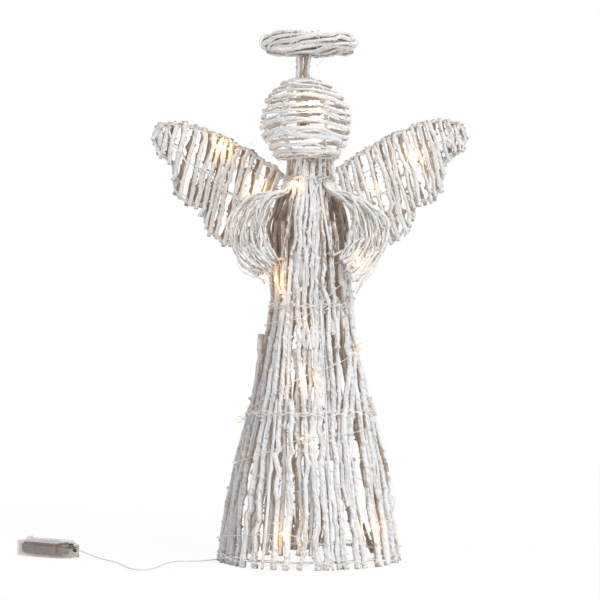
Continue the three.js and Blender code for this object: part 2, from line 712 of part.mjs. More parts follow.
// The slider lies under the roof of the nose, and its knob stands through the slot
const knobStart = slotStart + seatGap;
const roof = noseHeight - boxWall - seatGap;
addPart('switch_slider', joined([
  boxPart(
    [knobStart, -knobWidth / 2, roof - sliderThickness / 2],
    [knobStart + knobLength, knobWidth / 2, noseHeight + knobProud],
  ),
  boxPart(
    [knobStart - sliderSpread, -knobWidth / 2 - sliderSpread, roof - sliderThickness],
    [knobStart + knobLength + sliderSpread, knobWidth / 2 + sliderSpread, roof],
  ),
]), darkPlastic, box);
const boardTop = roof - sliderThickness - seatGap;
addPart('circuit_board', boxPart(
  [boxWall + seatGap, -noseTipWidth / 2 + boxWall + seatGap, boardTop - boardThickness],
  [noseLength - boxWall - seatGap, noseTipWidth / 2 - boxWall - seatGap, boardTop],
), boardGreen, box);

const cellProfile = [
  [0, 0], [cellRadius, 0], [cellRadius, cellLength], [cellNubRadius, cellLength],
  [cellNubRadius, cellLength + cellNubLength], [0, cellLength + cellNubLength],
].map(([radius, height]) => new THREE.Vector2(radius, height));
const cellHeight = boxWall + cellClearance + cellRadius;
const cellOffset = cellRadius + cellClearance / 2;
[-1, 1].forEach((side) => {
  const cell = new THREE.LatheGeometry(cellProfile, cellSides);
  cell.translate(0, -(cellLength + cellNubLength) / 2, 0).rotateZ((side * -Math.PI) / 2);
  const middle = noseLength + contactDepth + (cellLength + cellNubLength) / 2;
  cell.translate(middle, side * cellOffset, cellHeight);
  addPart(side < 0 ? 'battery_cell_near' : 'battery_cell_far', cell, cellWrap, box);
});

// A contact plate stands at each end of the cells, with a cone that presses on each of them
function contacts(wallPlace, direction) {
  const faces = [wallPlace, wallPlace + direction * contactThickness].sort((a, b) => a - b);
  const plate = boxPart(
    [faces[0], -cellOffset - contactRadius, cellHeight - contactRadius],
    [faces[1], cellOffset + contactRadius, cellHeight + contactRadius],
  );
  const reach = contactDepth - 2 * seatGap;
  const cones = [-1, 1].map((side) => {
    const cone = new THREE.CylinderGeometry(contactTipRadius, contactRadius, reach, contactSides);
    cone.rotateZ((-direction * Math.PI) / 2);
    return cone.translate(wallPlace + (direction * reach) / 2, side * cellOffset, cellHeight);
  });
  return joined([plate, ...cones]);
}
addPart('contact_nose', contacts(noseLength + seatGap, 1), plating, box);
addPart('contact_tail', contacts(boxLength - boxWall - seatGap, -1), plating, box);

const gland = new THREE.CylinderGeometry(glandRadius, glandRadius, glandLength, jointSides);
gland.rotateZ(Math.PI / 2).translate(glandLength / 2 - glandProud, 0, cableHoleHeight);
addPart('lead_gland', gland, darkPlastic, box);

const leadPoints = leadRoute.map((point) => new THREE.Vector3(...point));
leadPoints.unshift(aroundAxis(jointReach + jointLength + seatGap, leadAzimuth, jointEnd.z));
[leadStepLength, 0].forEach((away) => {
  const exit = new THREE.Vector3(-glandProud - seatGap - away, 0, cableHoleHeight);
  leadPoints.push(exit.applyAxisAngle(up, boxTurn).add(boxPlace));
});
const leadLength = new THREE.CatmullRomCurve3(leadPoints).getLength();
console.log('length of the lead', leadLength.toFixed(1));
addPart('lead', wire(leadPoints, leadRadius, Math.round(leadLength / leadStepLength), leadSides), clearCable);

// Light string: a thin wire that starts at the joint, comes out between two staves and climbs round the
// outside of the skirt and the body to the front of the head. It has small lamps along it, and branches that
// run inside both wings and before the right arm. A place on the body is an azimuth in degrees, a height, a
// distance out from the staves and a mark where a lamp is.
const stringRadius = 0.4;
const stringSides = 3;
const stringStandoff = 0.9;
const stringTurn = 12;
const lampRadius = 2.2;
const lampLengthShare = 1.3;
const lampSeatShare = 0.5;
const lampSides = 5;
const lampRings = 3;
const stringRoute = [
  [186, 5, -36], [186, 12, -34], [185.6, 19, -24], [185.6, 23, -8], [185.6, 26, 0], [200, 31, 0],
  [228, 36, 0], [254.5, 40, 0, 1], [278, 29, 0], [298, 31, 0], [316, 45, 0, 1], [380, 76, 0], [450, 98, 0],
  [520, 108, 0], [559.4, 112, 0, 1], [592, 124, 0], [624.6, 142, 0, 1], [690, 150, 0], [760, 154, 0],
  [850, 156, 0], [901, 159, 0, 1], [945, 186, 0], [983, 209, 0, 1], [1030, 226, 0], [1070, 242, 1, 1],
  [1140, 252, 0], [1210, 262, 0], [1290, 268, 0], [1345, 274, 0, 1], [1330, 290, 0.5], [1311, 303, 0.5, 1],
  [1304.5, 317, 0.8, 1], [1312, 345, 0.5], [1321, 385, 0], [1322, 408, 0], [1321, 425, 0, 1], [1290, 435, 0.5],
  [1230, 438, 0.5], [1170, 440, 0.5], [1110, 441, 0.5], [1050, 443, 0.5], [1022, 446, 2],
];
const stringHeadRoute = [
  [-75, 449, 38], [-82, 456, 46], [-87, 472, 52], [-89, 490, 55.5], [-88.5, 512, 53.2],
];
const stringBranches = [
  [[-3, 26.5, 440], [-9, 37, 437], [-21, 48, 430], [-36, 52.5, 425], [-59.5, 55.5, 424], [-69, 57, 417],
    [-84, 59, 400], [-92, 60, 383]],
  [[-36, 52.5, 425], [-62, 56, 446], [-82, 59, 462], [-99.7, 61, 471]],
  [[3, 26.5, 440], [9, 37, 438], [21, 48, 433], [40, 53, 426], [73.5, 57.5, 422]],
  [[40, 53, 426], [70, 57, 444], [96, 60.5, 455], [119.6, 64, 460]],
  [[-4.2, -48, 274], [9, -53, 286], [28, -57, 304], [46, -56, 322], [55.3, -49, 339]],
];
const branchLamps = [
  [-59.5, 55.5, 424], [-69, 57, 417], [-92, 60, 383], [-99.7, 61, 471], [73.5, 57.5, 422], [119.6, 64, 460],
  [55.3, -49, 339],
];

function onBody(azimuth, height, proud) {
  const level = Math.min(height, staveHeight);
  const { radius, lean } = bodyAt(level);
  const reach = radius + (staveRadiusAt(level) + stringStandoff + stringRadius) / Math.cos(lean);
  return aroundAxis(reach + proud, radians(azimuth), height);
}

// Further places between two of the route keep the wire on the round of the body
const routePlaces = stringRoute.map(([azimuth, height, proud]) => new THREE.Vector3(azimuth, height, proud));
const routeCurve = new THREE.CatmullRomCurve3(routePlaces);
const stringPath = [];
stringRoute.forEach((place, i) => {
  const next = stringRoute[i + 1];
  const pieces = next ? Math.max(1, Math.ceil(Math.abs(next[0] - place[0]) / stringTurn)) : 1;
  for (let k = 0; k < pieces; k += 1) {
    const between = routeCurve.getPoint((i + k / pieces) / (stringRoute.length - 1));
    stringPath.push(onBody(between.x, between.y, between.z));
  }
});
stringHeadRoute.forEach(([azimuth, height, reach]) => {
  stringPath.push(aroundAxis(reach, radians(azimuth), height));
});
const stringEntry = aroundAxis(jointReach - seatGap, leadAzimuth, jointEnd.z);
stringPath.unshift(stringEntry, stringEntry.clone().add(aroundAxis(-jointRadius, leadAzimuth, 0)));

const lampPlaces = stringRoute.filter((place) => place[3]).map(([azimuth, height, proud]) => (
  onBody(azimuth, height, proud + lampSeatShare * lampRadius)
));
lampPlaces.push(stringPath[stringPath.length - 1]);
branchLamps.forEach((place) => lampPlaces.push(new THREE.Vector3(...place)));
const lamps = lampPlaces.map((place) => {
  const lamp = new THREE.SphereGeometry(lampRadius, lampSides, lampRings);
  return lamp.scale(1, 1, lampLengthShare).translate(place.x, place.y, place.z);
});

// Each branch is twisted on at the nearest place of the wires before it
const wires = [stringPath];
stringBranches.forEach((branch) => {
  const path = branch.map((place) => new THREE.Vector3(...place));
  const places = wires.flat().sort((a, b) => a.distanceTo(path[0]) - b.distanceTo(path[0]));
  wires.push([places[0], ...path.filter((point) => point.distanceTo(places[0]) > stringRadius)]);
});
const strands = wires.map((path) => stick(path, () => stringRadius, stringSides));
addPart('light_string', joined([...strands, ...lamps]), lampGlow);

export default angel;
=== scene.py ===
"""Rattan light-up angel: a standing figure of whitewashed twigs with a light string and a battery box.

Shapes are worked out in millimetres in the frame's own axes, +Z up and -Y towards the viewer, and are
turned to metres as they go into a mesh.
"""

import bpy
import numpy as np
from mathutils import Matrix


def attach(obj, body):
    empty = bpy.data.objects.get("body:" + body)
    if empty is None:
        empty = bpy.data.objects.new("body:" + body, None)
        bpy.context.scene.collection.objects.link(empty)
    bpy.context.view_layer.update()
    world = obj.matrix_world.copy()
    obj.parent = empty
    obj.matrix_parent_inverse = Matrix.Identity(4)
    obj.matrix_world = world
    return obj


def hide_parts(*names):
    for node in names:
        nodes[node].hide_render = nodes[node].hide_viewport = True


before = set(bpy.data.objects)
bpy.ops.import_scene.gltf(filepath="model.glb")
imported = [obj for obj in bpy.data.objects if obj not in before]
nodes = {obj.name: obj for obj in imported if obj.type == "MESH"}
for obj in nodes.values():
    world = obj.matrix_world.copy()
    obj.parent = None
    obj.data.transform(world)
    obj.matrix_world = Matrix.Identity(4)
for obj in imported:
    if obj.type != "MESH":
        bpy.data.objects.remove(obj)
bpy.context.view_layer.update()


# Camera. It stands level in front of the figure at half its height, a little to the viewer's left of its
# middle, with a long lens, as a catalogue picture is taken.
CAMERA_PLACE = (-0.0096, -2.42, 0.294)
CAMERA_LENS_MM = 128.2
SENSOR_WIDTH_MM = 36.0

camera = bpy.data.objects.new("photo_camera", bpy.data.cameras.new("photo_camera"))
camera.data.lens = CAMERA_LENS_MM
camera.data.sensor_width = SENSOR_WIDTH_MM
camera.location = CAMERA_PLACE
camera.rotation_euler = (np.pi / 2, 0, 0)
bpy.context.scene.collection.objects.link(camera)
bpy.context.scene.camera = camera


# Lead. A clear flat cable of two cores side by side, moulded in soft plastic. It lies over the floor from
# the battery box to the skirt, and rises at the box into the hole of its nose.
MM = 0.001
LEAD_WIDTH = 2.4
LEAD_THICKNESS = 1.3
LEAD_SIDES = 16
LEAD_STEP = 1.5
LEAD_EDGE_TAPER = 0.25
CURVE_CUTS = 16
LEAD_ROUTE = [
    (-93.5, -9.2, 2.3), (-97, -9.6, 1.8), (-104, -11.2, 1.4), (-113, -17, 1.3), (-125, -24, 1.3),
    (-137, -25.5, 1.3), (-147, -26, 1.3), (-155.5, -38, 1.3), (-163, -66, 1.3), (-170.5, -92, 1.3),
    (-181, -105, 1.3), (-192, -94, 1.3), (-205, -62, 1.3), (-217, -32, 1.3), (-228, -14, 1.5),
    (-238, -5, 2.8), (-247, 1.5, 5.2), (-254.5, 7, 7.4), (-258.5, 11.3, 8.5), (-264.6, 15.2, 8.5),
]
UP = np.array([0.0, 0.0, 1.0])


def unit(vectors):
    """Each vector divided by its length."""
    return vectors / np.linalg.norm(vectors, axis=-1, keepdims=True)


def smooth_path(points, step):
    """A cubic curve through the points, whose slope at each is the mean of its two chords weighted by the
    other's length, cut into equal steps. Gives the places and how far along each lies."""
    points = np.asarray(points, float)
    chord = np.diff(points, axis=0)
    length = np.linalg.norm(chord, axis=1)[:, None]
    slope = chord / length
    inner = (slope[:-1] * length[1:] + slope[1:] * length[:-1]) / (length[1:] + length[:-1])
    slope = np.vstack([slope[:1], inner, slope[-1:]])
    share = np.linspace(0, 1, CURVE_CUTS, endpoint=False)[None, :, None]
    start, end = points[:-1, None], points[1:, None]
    leave, arrive = slope[:-1, None] * length[:, None], slope[1:, None] * length[:, None]
    curve = ((2 * share**3 - 3 * share**2 + 1) * start + (share**3 - 2 * share**2 + share) * leave
             + (3 * share**2 - 2 * share**3) * end + (share**3 - share**2) * arrive)
    curve = np.vstack([curve.reshape(-1, 3), points[-1:]])
    travelled = np.concatenate([[0], np.cumsum(np.linalg.norm(np.diff(curve, axis=0), axis=1))])
    places = np.linspace(0, travelled[-1], max(3, int(round(travelled[-1] / step)) + 1))
    return np.stack([np.interp(places, travelled, curve[:, k]) for k in range(3)], axis=1), places


def sweep(path, facing, out, beside, closed=False):
    """Rings round a path. Each corner lies its out value along the facing, made square to the path, and its
    beside value along the third direction."""
    if closed:
        along = unit(np.roll(path, -1, axis=0) - np.roll(path, 1, axis=0))
    else:
        along = unit(np.gradient(path, axis=0))
    facing = np.broadcast_to(facing, path.shape)
    normal = unit(facing - (facing * along).sum(-1, keepdims=True) * along)
    third = np.cross(along, normal)
    return path[:, None] + out[..., None] * normal[:, None] + beside[..., None] * third[:, None]


def round_angles(sides):
    """Equal steps round a full turn, from 0."""
    return 2 * np.pi * np.arange(sides) / sides


def add_piece(name, shells, material, replaced=(), body="root"):
    """One mesh of many shells. A shell is a grid of rings by corners, closed round each ring, and at its
    ends either joined to itself or capped. Masks and grain are values of its corners."""
    points, masks, grain, corners, counts = [], [], [], [], []
    base = 0
    for shell in shells:
        grid = shell["points"]
        rings, sides = grid.shape[:2]
        index = base + np.arange(rings * sides).reshape(rings, sides)
        closed = shell.get("closed", False)
        here, there = (index, np.roll(index, -1, axis=0)) if closed else (index[:-1], index[1:])
        quads = np.stack([here, np.roll(here, -1, 1), np.roll(there, -1, 1), there], axis=-1)
        corners.append(quads.reshape(-1))
        counts.append(np.full(quads.size // 4, 4))
        if not closed:
            corners += [index[0][::-1], index[-1]]
            counts.append(np.full(2, sides))
        points.append(grid.reshape(-1, 3) * MM)
        masks.append(shell.get("masks", np.ones((rings, sides, 4))).reshape(-1, 4))
        grain.append(shell.get("grain", grid).reshape(-1, 3) * MM)
        base += rings * sides
    points, corners, counts = np.concatenate(points), np.concatenate(corners), np.concatenate(counts)
    mesh = bpy.data.meshes.new(name)
    mesh.vertices.add(len(points))
    mesh.vertices.foreach_set("co", points.astype(np.float32).ravel())
    mesh.loops.add(len(corners))
    mesh.loops.foreach_set("vertex_index", corners.astype(np.int32))
    mesh.polygons.add(len(counts))
    mesh.polygons.foreach_set("loop_start", (np.cumsum(counts) - counts).astype(np.int32))
    mesh.polygons.foreach_set("use_smooth", counts == 4)
    mesh.update(calc_edges=True)
    for title, kind, key, values in (
            ("masks", "FLOAT_COLOR", "color", masks),
            ("grain", "FLOAT_VECTOR", "vector", grain)):
        attribute = mesh.attributes.new(title, kind, "POINT")
        attribute.data.foreach_set(key, np.concatenate(values).astype(np.float32).ravel())
    mesh.materials.append(material)
    made = bpy.data.objects.new(name, mesh)
    bpy.context.scene.collection.objects.link(made)
    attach(made, body)
    if replaced:
        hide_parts(*replaced)
    return made


def principled(name, colour=(0.8, 0.8, 0.8, 1), roughness=0.5, **values):
    """A material with its Principled shader's own sockets set."""
    material = bpy.data.materials.new(name)
    material.use_nodes = True
    shader = material.node_tree.nodes["Principled BSDF"]
    shader.inputs["Base Color"].default_value = colour
    shader.inputs["Roughness"].default_value = roughness
    for socket, value in values.items():
        shader.inputs[socket.replace("_", " ")].default_value = value
    return material, shader


clear_cable, _ = principled("clear soft cable", (0.74, 0.745, 0.75, 1), 0.3, Transmission_Weight=0.15)
lead_path, _ = smooth_path(LEAD_ROUTE, LEAD_STEP)
lead_angle = round_angles(LEAD_SIDES)
lead_grid = (len(lead_path), LEAD_SIDES)
lead_taper = 1 - LEAD_EDGE_TAPER * np.cos(lead_angle) ** 8
lead_out = np.broadcast_to(LEAD_THICKNESS / 2 * np.cos(lead_angle) * lead_taper, lead_grid)
lead_beside = np.broadcast_to(LEAD_WIDTH / 2 * np.sin(lead_angle), lead_grid)
lead = add_piece("lead_cable", [{"points": sweep(lead_path, UP, lead_out, lead_beside)}], clear_cable,
                 ["lead"])


# Staves. Rough twigs of bush and vine that stand on the floor round the skirt and run up to the neck,
# brushed with white limewash on their outside, so that the bark shows on their sides and within. They
# taper upwards, with knots and buds all along, and their feet and tops are cut square.
BODY_LINE = np.array([
    (0, 100), (4, 100), (73.8, 89.6), (164, 66.4), (248.5, 47.1), (292, 40), (313, 43.5), (373, 41.3),
    (402, 33.5), (428, 20.8), (454, 20.8),
])
STAVE_COUNT = 16
STAVE_PITCH = 2 * np.pi / STAVE_COUNT
STAVE_HEIGHT = 454
SHORT_STAVE_HEIGHTS = (255, 385, 385, 184)
STAVE_FOOT_RADIUS = 4.0
STAVE_TOP_RADIUS = 3.3
CAP_LIFT = 0.15
CAP_SHARE = 0.8
WANDER_SHARE = 0.12
FORK_HEIGHT = 120
FORK_LEG_SPACING = 10.6
HIP_HEIGHT = 164
GOLDEN_ANGLE = np.pi * (3 - np.sqrt(5))
KNOT_SPACINGS = (0.4, 1.6)
KNOT_NUB_SIZES = (0.3, 1.1)
SIDE_NUB_SIZES = (0.05, 0.9)
SIDE_NUB_SPACING = 11.0
NUB_LENGTHS = (0.9, 1.6)
NUB_WIDTH = 0.45
NUB_HEIGHT = 2.6
NUB_TURN_SPREAD = 0.6
WORN_NUB_SIZE = 0.6
KNOT_SWELLS = (0.0, 0.17)
KNOT_LENGTH_SHARE = 0.8
SLOW_WAVES = (22, 80)
FLUTE_WAVES = (60, 240)
FINE_WAVES = (4.0, 14)
PATCH_WAVES = (7, 40)
PAINT_SPREAD = 0.15
SAWN_DEPTH = 2.0
GRAIN_REACH = 4000
BARK_DARK = (0.47, 0.365, 0.29, 1)
BARK_LIGHT = (0.75, 0.605, 0.49, 1)
# Darker bark colours where a twig is bare: painted shade behind the arms, and the own darker bark of the worn
# chest twig and the scar.
WORN_AND_SHADED_BARK_DARK = (0.28, 0.21, 0.17, 1)
WORN_AND_SHADED_BARK_LIGHT = (0.56, 0.45, 0.37, 1)
CUT_WOOD = (0.42, 0.29, 0.20, 1)
WASH = (0.865, 0.868, 0.872, 1)
WASH_SHADE = (0.62, 0.62, 0.63, 1)
ARM_SHADE_HEIGHTS = (325, 418)
ARM_SHADE_EDGES = (18, 12)
ARM_SHADE_MIDDLE = 1
ARM_SHADE_REACH = 17
ARM_SHADE_SIDE_EDGE = 4
ARM_SHADE_BACK = 6
ARM_SHADE_WEAR = 0.95


def around_axis(radius, azimuth, height):
    """Points about the upright axis: the radius times the azimuth's cosine across and its sine deep, and the
    height."""
    across, deep = radius * np.cos(azimuth), radius * np.sin(azimuth)
    return np.stack(np.broadcast_arrays(across, deep, height), axis=-1)


def body_radius(height):
    """The radius of the ring of staves at a height, straight between the rows of the body's line."""
    return np.interp(height, BODY_LINE[:, 0], BODY_LINE[:, 1])


def stave_radius(height):
    """A stave's own radius at a height, straight from its foot to its top."""
    return np.interp(height, [0, STAVE_HEIGHT], [STAVE_FOOT_RADIUS, STAVE_TOP_RADIUS])


def ripples(rng, places, angle, wavelengths, turns, count=9):
    """A smooth random value over a twig's surface, about -1 to 1: the sum of sine waves of random length
    that run along it and wind round it, over the root of their count."""
    length = rng.uniform(*wavelengths, count)[:, None, None]
    winding = rng.integers(0, turns + 1, count)[:, None, None]
    phase = rng.uniform(0, 2 * np.pi, count)[:, None, None]
    waves = np.sin(2 * np.pi * places[None, :, None] / length + winding * angle[None, None, :] + phase)
    return waves.sum(0) / np.sqrt(count)


def twig_shell(rng, points, radius, facing, sides=16, step=1.1, crook=1.3, knot_gap=15.0, buds=1.25,
               paint=0.31, rough=1.0, flat=1.0, bare=None):
    """One twig along smooth points. It runs nearly straight from knot to knot and turns a little at each.
    Its radius is the given one times one plus flutes, slow and fine ripples, a swell at each knot and nubs
    on its sides. Its masks are paint, which is most on the side that faces out and is less where the surface
    lies low, as painted shade in the grooves, cut wood at the ends and on the nubs' tips, height over the
    mean surface, which the finish also uses to paint shade into the grooves, and how much the bark keeps
    its usual colours: where the bare value is high it takes darker ones, which behind the arms is painted
    shade and on the worn chest twig and the scar is their own darker bark."""
    path, places = smooth_path(points, step)
    angle = round_angles(sides)
    share = places / places[-1]
    girth = radius(share) if callable(radius) else np.full(len(share), float(radius))
    knots = np.cumsum(rng.uniform(*KNOT_SPACINGS, int(places[-1] / knot_gap) + 3)) * knot_gap - knot_gap
    normal = unit(facing(path))
    beside = np.cross(unit(np.gradient(path, axis=0)), normal)
    away, aside = (np.interp(places, knots, rng.normal(0, crook, len(knots))) for _ in range(2))
    path = path + 0.5 * away[:, None] * normal + aside[:, None] * beside

    nubs = np.concatenate([knots, rng.uniform(0, places[-1], int(places[-1] / SIDE_NUB_SPACING))])
    knot_sizes = rng.uniform(*KNOT_NUB_SIZES, len(knots))
    size = np.concatenate([knot_sizes, rng.uniform(*SIDE_NUB_SIZES, len(nubs) - len(knots))])
    turn = rng.choice([-1, 1], len(nubs)) * rng.normal(np.pi / 2, NUB_TURN_SPREAD, len(nubs))
    along = (places[:, None] - nubs) / rng.uniform(*NUB_LENGTHS, len(nubs))
    off = np.angle(np.exp(1j * (angle - turn[:, None]))) / NUB_WIDTH
    nub = np.exp(-np.abs(along) ** 3) @ (size[:, None] * np.exp(-np.abs(off) ** 3))
    tip = np.exp(-(1.7 * along) ** 2) @ ((size > WORN_NUB_SIZE)[:, None] * np.exp(-(1.5 * off) ** 2))
    near_knot = np.exp(-((places[:, None] - knots) / (KNOT_LENGTH_SHARE * girth[:, None])) ** 2)
    swell = (near_knot @ rng.uniform(*KNOT_SWELLS, len(knots)))[:, None]
    slow = ripples(rng, places, angle, SLOW_WAVES, 2)
    flutes = ripples(rng, places, angle, FLUTE_WAVES, 6, 12)
    fine = ripples(rng, places, angle, FINE_WAVES, 6, 16)
    relief = rough * (0.05 * slow + 0.07 * flutes + 0.010 * fine) + 0.7 * swell - 0.02
    reach = girth[:, None] * (1 + relief) + NUB_HEIGHT * buds * nub

    height = 0.5 + 0.28 * fine + 0.26 * flutes + 0.3 * nub - 0.25 * swell
    cover = paint + rng.normal(0, PAINT_SPREAD) + 0.6 * np.cos(angle)[None, :]
    cover = cover + 0.22 * ripples(rng, places, angle, PATCH_WAVES, 3)
    # Less paint where the surface lies low is painted shade in the grooves; less round the nubs shows their
    # bark.
    cover = cover + 0.30 * (height - 0.5) - 1.8 * nub * np.clip(1 - nub, 0, 1)
    cut = np.clip(tip, 0, 1)
    light = np.ones_like(cover)
    if bare is not None:
        worn = bare(path)[:, None]
        cover = cover - worn
        # The bark darkens with bareness: painted shade behind the arms, and the own darker bark of the chest
        # twig and the scar.
        light = 1 - np.clip(worn, 0, 1) * light
        cut = np.maximum(cut, np.clip(1.5 * worn - 1.5, 0, 1) * (np.cos(angle - 0.5) > 0))
    from_end = np.minimum(places, places[-1] - places)[:, None]
    sawn = SAWN_DEPTH + 1.1 * np.sin(2 * angle + nubs[-1])
    cut = np.maximum(cut, np.exp(-(from_end / sawn) ** 2))
    path, reach, normal, cover, height, cut, light, places = (
        np.concatenate([v[:1], v, v[-1:]]) for v in (path, reach, normal, cover, height, cut, light, places))
    cut[[0, -1]] = 1
    reach[[0, -1]] *= CAP_SHARE
    path[0] += CAP_LIFT * unit(path[0] - path[2])
    path[-1] += CAP_LIFT * unit(path[-1] - path[-3])
    masks = np.clip(np.stack([0.5 + 0.5 * cover, cut, height, light], axis=-1), 0, 1)
    out, aside = reach * np.cos(angle), reach * np.sin(angle)
    straight = np.stack(np.broadcast_arrays(places[:, None], out, aside), -1)
    return {
        "points": sweep(path, normal, flat * out, aside),
        "masks": masks,
        "grain": straight + rng.uniform(0, GRAIN_REACH, 3),
    }


def from_axis(path):
    """Straight out from the upright axis at each point: the point without its height."""
    return path * (1, 1, 0)


def stave_line(azimuth, bottom, top, seed, apart=0.0):
    """The line of a stave: the body's line at its azimuth, wandering by a share of its free gap times a sine
    of the height. A forked leg stands apart by less and less up to the fork."""
    inner = BODY_LINE[1:, 0]
    heights = np.concatenate([[bottom], inner[(inner > bottom + 1) & (inner < top - 1)], [top]])
    radius = body_radius(heights)
    neighbours = np.where(heights > max(SHORT_STAVE_HEIGHTS), STAVE_COUNT, STAVE_COUNT * 2)
    free = 2 * np.pi * radius / neighbours - 2 * stave_radius(heights)
    wander = WANDER_SHARE * free * np.sin(seed * GOLDEN_ANGLE + 2 * np.pi * heights / HIP_HEIGHT)
    spread = apart * np.clip(1 - (heights / FORK_HEIGHT) ** 2, 0, 1) * radius / BODY_LINE[0, 1]
    return around_axis(radius, azimuth + (wander + spread) / radius, heights)


def mixed(tree, low, high, factor):
    """A colour mix node between two colours, each a socket or a value."""
    node = tree.nodes.new("ShaderNodeMix")
    node.data_type = "RGBA"
    for socket, value in ((node.inputs[6], low), (node.inputs[7], high), (node.inputs[0], factor)):
        if isinstance(value, bpy.types.NodeSocket):
            tree.links.new(value, socket)
        else:
            socket.default_value = value
    return node.outputs[2]


def summed(tree, operation, *values):
    """A math node over sockets or numbers."""
    node = tree.nodes.new("ShaderNodeMath")
    node.operation = operation
    for socket, value in zip(node.inputs, values):
        if isinstance(value, bpy.types.NodeSocket):
            tree.links.new(value, socket)
        else:
            socket.default_value = value
    return node.outputs[0]


def stepped(tree, value, low, high):
    """A smooth step of a value from 0 at low to 1 at high."""
    node = tree.nodes.new("ShaderNodeMapRange")
    node.interpolation_type = "SMOOTHSTEP"
    tree.links.new(value, node.inputs["Value"])
    node.inputs["From Min"].default_value = low
    node.inputs["From Max"].default_value = high
    return node.outputs["Result"]


def noise(tree, vector, scale, detail=4.0, stretch=None):
    """A noise value over a vector, stretched by a scale on each axis."""
    if stretch:
        mapping = tree.nodes.new("ShaderNodeMapping")
        mapping.inputs["Scale"].default_value = stretch
        tree.links.new(vector, mapping.inputs["Vector"])
        vector = mapping.outputs["Vector"]
    node = tree.nodes.new("ShaderNodeTexNoise")
    node.inputs["Scale"].default_value = scale
    node.inputs["Detail"].default_value = detail
    tree.links.new(vector, node.inputs["Vector"])
    return node.outputs["Fac"]


def new_group(name, inputs, outputs):
    """A shader node group with named sockets."""
    group = bpy.data.node_groups.new(name, "ShaderNodeTree")
    for direction, sockets in (("INPUT", inputs), ("OUTPUT", outputs)):
        for title, kind in sockets:
            group.interface.new_socket(title, in_out=direction, socket_type=kind)
    return group, group.nodes.new("NodeGroupInput").outputs, group.nodes.new("NodeGroupOutput").inputs


def limewash_group():
    """Limewash brushed over bark. The paint mask, broken by flecks and by streaks along the grain, is stepped
    to a cover, which mixes the bark's two colours with the wash's two. In the grooves the cover is less and
    the wash darker, which is painted shade, and brown shows on the nubs and the cut ends. Where the masks'
    alpha is low the bark takes darker colours: painted shade behind the arms, and the own darker bark of the
    worn chest twig and the scar."""
    colour, value = "NodeSocketColor", "NodeSocketFloat"
    inputs = [("Bark dark", colour), ("Bark light", colour), ("Wash", colour), ("Wash shade", colour),
              ("Wear", value)]
    outputs = [("Colour", colour), ("Roughness", value), ("Height", value)]
    tree, given, result = new_group("limewash on bark", inputs, outputs)
    masks = tree.nodes.new("ShaderNodeAttribute")
    masks.attribute_name = "masks"
    split = tree.nodes.new("ShaderNodeSeparateColor")
    tree.links.new(masks.outputs["Color"], split.inputs["Color"])
    paint, cut, relief = split.outputs
    light = masks.outputs["Alpha"]
    grain = tree.nodes.new("ShaderNodeAttribute")
    grain.attribute_name = "grain"
    vector = grain.outputs["Vector"]
    streaks = noise(tree, vector, 1.0, 4.0, (60, 900, 900))
    flecks = noise(tree, vector, 480.0, 5.0)
    patches = noise(tree, vector, 75.0, 3.0)

    def centred(socket, amount):
        """A value from 0 to 1 turned into one from minus to plus half the amount."""
        return summed(tree, "MULTIPLY_ADD", socket, amount, -amount / 2)

    cover = summed(tree, "MULTIPLY_ADD", paint, 2.0, -1.0)
    # The relief term takes paint out of the grooves, as painted shade.
    for socket, amount in ((flecks, 0.6), (streaks, 1.3), (relief, 0.4), (patches, 0.7)):
        cover = summed(tree, "ADD", cover, centred(socket, amount))
    cover = stepped(tree, summed(tree, "SUBTRACT", cover, given["Wear"]), -0.08, 0.12)
    bark = mixed(tree, given["Bark dark"], given["Bark light"], stepped(tree, streaks, 0.34, 0.64))
    # Darker bark where the masks' alpha is low: painted shade behind the arms, the own darker bark of the
    # chest twig and the scar.
    worn_and_shaded_bark = mixed(tree, WORN_AND_SHADED_BARK_DARK, WORN_AND_SHADED_BARK_LIGHT, stepped(tree, streaks, 0.34, 0.64))
    bark = mixed(tree, worn_and_shaded_bark, bark, light)
    # The wash's tone falls in the grooves, as painted shade, and varies with streaks and patches.
    tone = summed(tree, "ADD", centred(relief, 0.6), centred(streaks, 1.2))
    tone = summed(tree, "ADD", tone, centred(patches, 0.6))
    wash = mixed(tree, given["Wash shade"], given["Wash"], stepped(tree, tone, -0.26, 0.10))
    wash = mixed(tree, wash, given["Bark light"], stepped(tree, tone, -0.22, -0.50))
    finished = mixed(tree, bark, wash, cover)
    worn = summed(tree, "MULTIPLY", cut, stepped(tree, flecks, 0.40, 0.56))
    finished = mixed(tree, finished, CUT_WOOD, worn)
    tree.links.new(finished, result["Colour"])
    tree.links.new(summed(tree, "MULTIPLY_ADD", cover, 0.12, 0.76), result["Roughness"])
    height = summed(tree, "MULTIPLY_ADD", flecks, 0.15, summed(tree, "MULTIPLY", streaks, 1.5))
    tree.links.new(summed(tree, "MULTIPLY_ADD", cover, 0.3, height), result["Height"])
    return tree


limewash = limewash_group()
BARK_RELIEF = 0.0004


def twig_material(name, wear, wash=WASH, wash_shade=WASH_SHADE, dark=BARK_DARK, light=BARK_LIGHT,
                  bump=BARK_RELIEF):
    """A twig's finish: limewash worn off by the given amount."""
    material, shader = principled(name)
    tree = material.node_tree
    group = tree.nodes.new("ShaderNodeGroup")
    group.node_tree = limewash
    for title, value in (
            ("Bark dark", dark), ("Bark light", light), ("Wash", wash), ("Wash shade", wash_shade),
            ("Wear", wear)):
        group.inputs[title].default_value = value
    tree.links.new(group.outputs["Colour"], shader.inputs["Base Color"])
    tree.links.new(group.outputs["Roughness"], shader.inputs["Roughness"])
    relief = tree.nodes.new("ShaderNodeBump")
    relief.inputs["Distance"].default_value = bump
    relief.inputs["Strength"].default_value = 0.9
    tree.links.new(group.outputs["Height"], relief.inputs["Height"])
    tree.links.new(relief.outputs["Normal"], shader.inputs["Normal"])
    return material


